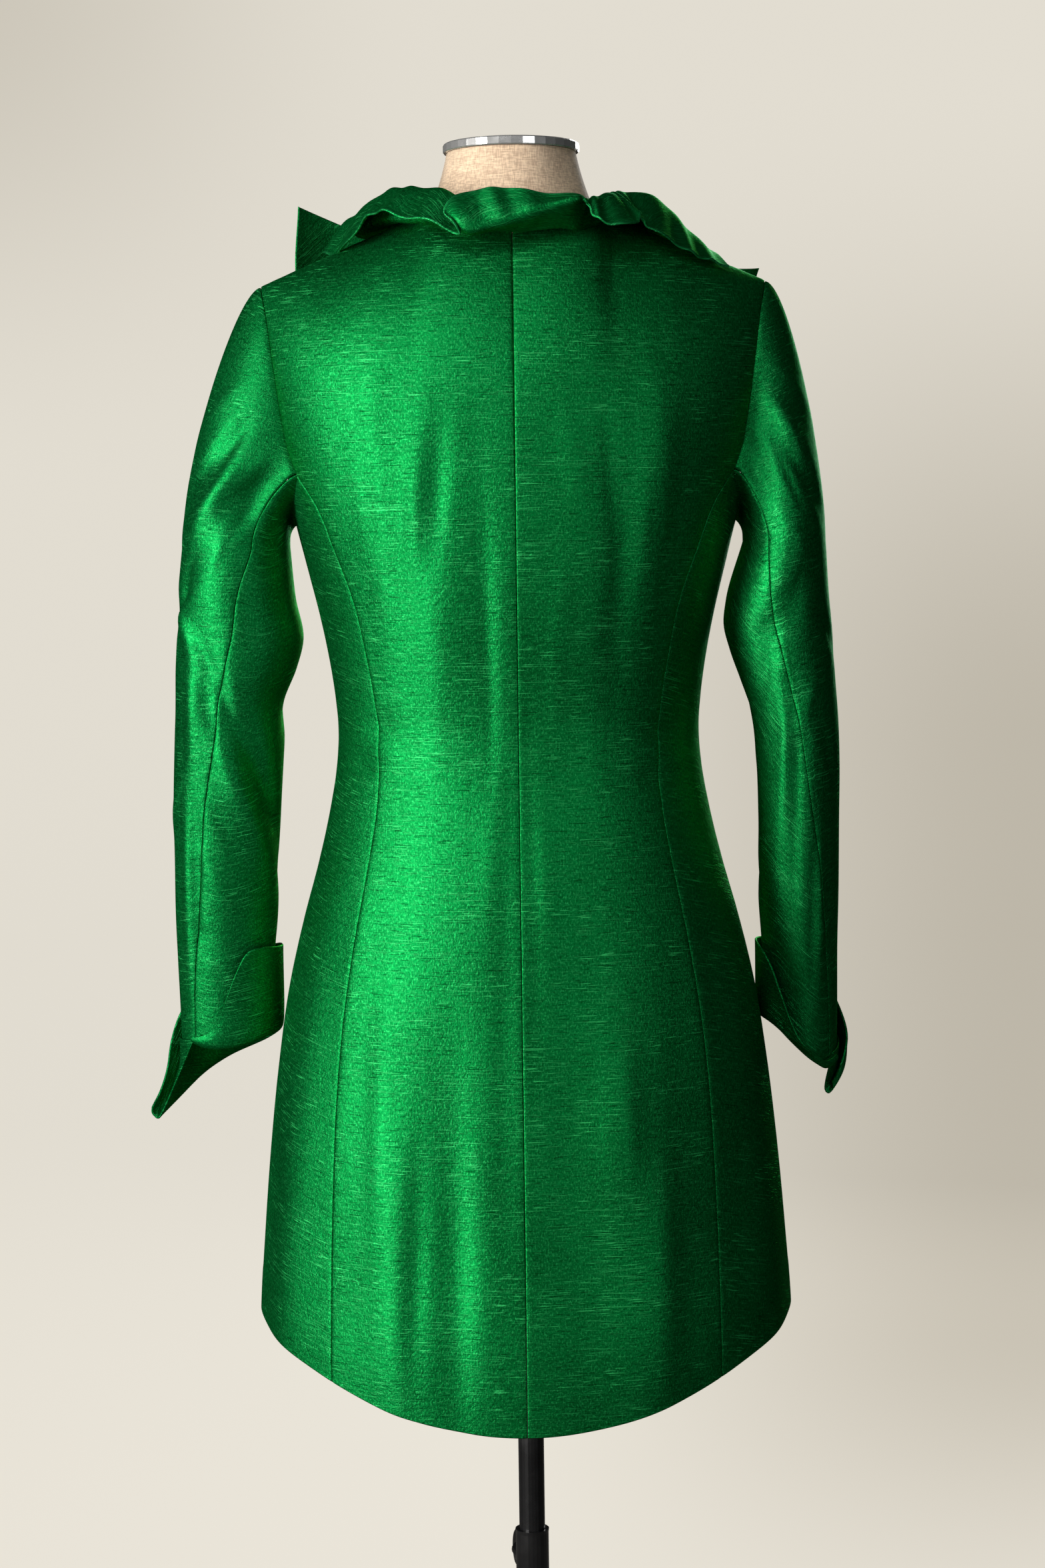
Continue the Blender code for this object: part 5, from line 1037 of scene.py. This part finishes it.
ruffleCut = {"across": 0.62, "acrossStep": 0.0022, "down": 0.070, "downStep": 0.0021, "wave": 0.0011,
             "wavePace": (4.7, 1.1, 1.7), "gather": 0.0006, "gatherPace": (19.0, 2.0, 3.1), "wall": 0.0013,
             "knots": [0.0, 0.34, 0.62, 1.0]}


def unevenSine(at, pace, sway, drift):
    # a sine whose pace is swayed by a slower one
    return np.sin(at * pace + sway * np.sin(at * drift))


def ruffledCollar():
    # at each station a cubic curve from the neck seam by belly and ridge to the free edge, moved
    # in and out by two sines of uneven length: a long wave at the edge, gathers at the seam
    stations = np.arange(len(ruffle["seam"]), dtype=float)
    at = shares(ruffleCut["across"], step=ruffleCut["acrossStep"]) * stations[-1]
    line = {key: curveThrough(stations, ruffle[key], at) for key in ruffle}
    points = {key: xyz(*(line[key + axis] for axis in ("_x", "_y", "_z"))) for key in ("belly", "ridge", "edge")}
    seam = neckSeam(line["seam"])
    out = unit((points["belly"] - seam) * [1, 1, 0])
    seam = seam + out * 0.0022 - [0, 0, 0.0014]
    path = np.stack([seam, points["belly"], points["ridge"], points["edge"]])
    s = shares(ruffleCut["down"], step=ruffleCut["downStep"])
    face = curveThrough(np.array(ruffleCut["knots"]), path, s)
    normal = gridNormal(face, 1)
    s = s[:, None]
    wave = ruffleCut["wave"] * unevenSine(at, *ruffleCut["wavePace"]) * softStep(s * 1.6 - 0.5)
    gather = ruffleCut["gather"] * unevenSine(at, *ruffleCut["gatherPace"])
    gather = gather * np.exp(-s / 0.18) * softStep(s / 0.06)
    face = face + normal * (wave + gather)[..., None]
    look = {"phase": 1.2, "pucker": 0.0, "dip": 0.0, "held": "gathered", "overlock": 1,
            "restsOn": ["backPanel_left", "backPanel_right"]}
    return clothWall("ruffledCollar", face, normal, look, ruffleCut["wall"], rimThreads=0.0003)


def lapelPiece(name, side, tab, phase):
    # a pointed flap turned back along the neckline, standing off the front by a quarter sine
    v = shares(0.38)[:, None]
    u = shares(0.10)[None, :]
    foldHeight = blend(shape["break"] + 0.004, collarCut["foldTop"], v)
    foldX = read(neckline, "out", foldHeight) + collarCut["foldOut"]
    x = blend(foldX, read(tab, "out", v), u)
    z = blend(foldHeight, read(tab, "height", v), u)
    # above the shoulder's foot the front is read a little lower, where it is still near upright
    level = np.minimum(z, collarCut["level"]) - 0.012 * softStep((z - 1.30) / 0.1)
    panelY = torso(turnAt(x, level, front=True), level, False)[..., 1]
    lift = read(tab, "lift", v) * np.sin(u * math.pi / 2) + collarCut["lift"] + cloth["wall"]
    face = xyz(side * x, panelY - lift, z)
    normal = gridNormal(face, -side)
    look = {"phase": phase, "pucker": 0.0002, "dip": 0.0, "held": "folded", "grain": side * 20.0,
            "restsOn": ["frontPanel_" + name.split("_")[1]]}
    return clothWall(name, face, normal, look)


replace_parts(ruffledCollar(), "collar")
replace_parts(lapelPiece("peakedLapel_left", 1, lapels["left"], 0.4), "lapel_left")
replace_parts(lapelPiece("peakedLapel_right", -1, lapels["right"], 1.9), "lapel_right")
print("collar and lapels done")


# floor, light and camera

# seen is the pale colour the backdrop glows with, painted light shown only to the camera; shade is its painted
# shade; glow is the painted light's strength
studio = {"floorRadius": 7.6, "bend": 1.6, "wallTop": 5.0, "paper": (0.11, 0.105, 0.095, 1),
          "seen": (0.78, 0.74, 0.655, 1), "shade": (0.525, 0.485, 0.405, 1), "glow": 0.96, "mottle": 0.96,
          "eye": (0, 2.407, 1.165), "pitch": 3.9, "roll": -0.75, "lens": 70, "sensor": 36,
          "sky": (0.95, 0.93, 0.88, 1), "world": 0.025}

# each light: place, aim, size, watts and colour
lights = {
    "keySoftbox": ((2.25, 1.72, 1.36), (0, 0.05, 1.05), (0.8, 2.3), 102.0, (1.0, 0.98, 0.95)),
    "fillSoftbox": ((-1.45, 2.6, 1.4), (0, 0, 1.0), (0.45, 1.5), 10.5, (0.95, 0.98, 1.0)),
    "topSoftbox": ((0.85, 2.2, 3.0), (0, 0, 1.2), (1.4, 1.2), 24.0, (1.0, 1.0, 1.0)),
    "frontSoftbox": ((-0.9, -2.7, 1.9), (0, 0, 1.0), (1.2, 1.8), 38.0, (1.0, 0.99, 0.97)),
}


def paperCove():
    # a floor disc that bends up into a round wall: one outline turned about the middle
    bend = np.linspace(0, math.pi / 2, 14)
    radius = np.concatenate([[0.02, 1.0, 2.5, 4.5], studio["floorRadius"] + studio["bend"] * np.sin(bend),
                             [studio["floorRadius"] + studio["bend"]]])
    height = np.concatenate([[0, 0, 0, 0], studio["bend"] * (1 - np.cos(bend)), [studio["wallTop"]]]) - 0.0004
    t = np.linspace(0, 2 * math.pi, 97)[:-1]
    points = xyz(radius[:, None] * np.cos(t), radius[:, None] * np.sin(t), height[:, None]).reshape(-1, 3)
    faces = ringFaces(np.arange(len(points)).reshape(len(radius), len(t)))[:, ::-1]
    material, tree, shader = newMaterial("paper with painted light and shade", Roughness=0.95, Specular_IOR_Level=0.1)
    place = node(tree, "TexCoord").outputs["Object"]
    darker = tuple(c * studio["mottle"] for c in studio["paper"][:3]) + (1,)
    cloud = remap(tree, noiseOf(tree, place, 1.2, 3.0, 0.5), 0.3, 0.7)
    colour = mixColour(tree, cloud, studio["paper"], darker)
    tree.links.new(colour, shader.inputs["Base Color"])
    # painted light and painted shade on the backdrop: paler or darker by the direction from the camera: across
    # and up, divided by the depth
    apart = node(tree, "SeparateXYZ", None, Vector=place)
    depth = maths(tree, "MAXIMUM", maths(tree, "SUBTRACT", studio["eye"][1], apart.outputs[1]), 1.0)
    slant = maths(tree, "DIVIDE", apart.outputs[0], depth)
    rise = maths(tree, "DIVIDE", maths(tree, "SUBTRACT", apart.outputs[2], studio["eye"][2]), depth)
    # painted shade only on the far floor and wall, fading in from y -0.4 to y -2.2
    paintedShadeReach = remap(tree, apart.outputs[1], -0.4, -2.2)
    # painted shade at the lower right and the upper left of the view
    low = maths(tree, "MULTIPLY", remap(tree, slant, 0.03, -0.17), remap(tree, rise, 0.16, -0.06))
    high = maths(tree, "MULTIPLY", remap(tree, slant, 0.02, 0.19), remap(tree, rise, 0.03, 0.20, 0.0, 0.65))
    shade = maths(tree, "MULTIPLY", maths(tree, "MAXIMUM", low, high), paintedShadeReach)
    tree.links.new(mixColour(tree, shade, studio["seen"], studio["shade"]), shader.inputs["Emission Color"])
    # painted light: the backdrop glows for camera rays only, though it is no lamp
    seen = node(tree, "LightPath").outputs["Is Camera Ray"]
    tree.links.new(maths(tree, "MULTIPLY", seen, studio["glow"]), shader.inputs["Emission Strength"])
    cove = meshFrom("paperCove", points, faces, None, material)


def areaLight(name, place, aim, size, power, colour):
    lamp = bpy.data.lights.new(name, "AREA")
    lamp.shape, lamp.size, lamp.size_y = "RECTANGLE", size[0], size[1]
    lamp.energy, lamp.color = power, colour
    made = bpy.data.objects.new(name, lamp)
    made.location = place
    made.rotation_euler = (Vector(aim) - Vector(place)).to_track_quat("-Z", "Y").to_euler()
    made.visible_camera = False
    bpy.context.scene.collection.objects.link(made)


paperCove()
for name, row in lights.items():
    areaLight(name, *row)
world = bpy.data.worlds.new("studio")
world.use_nodes = True
world.node_tree.nodes["Background"].inputs[0].default_value = studio["sky"]
world.node_tree.nodes["Background"].inputs[1].default_value = studio["world"]
bpy.context.scene.world = world

bpy.context.scene.view_settings.view_transform = "Standard"
lens = bpy.data.cameras.new("photographView")
lens.lens, lens.sensor_width = studio["lens"], studio["sensor"]
camera = bpy.data.objects.new("photographView", lens)
camera.matrix_world = (Matrix.Translation(studio["eye"]) @ Matrix.Rotation(math.radians(180), 4, "Z")
                       @ Matrix.Rotation(math.radians(90 - studio["pitch"]), 4, "X")
                       @ Matrix.Rotation(math.radians(studio["roll"]), 4, "Z"))
bpy.context.scene.collection.objects.link(camera)
bpy.context.scene.camera = camera
print("studio done")
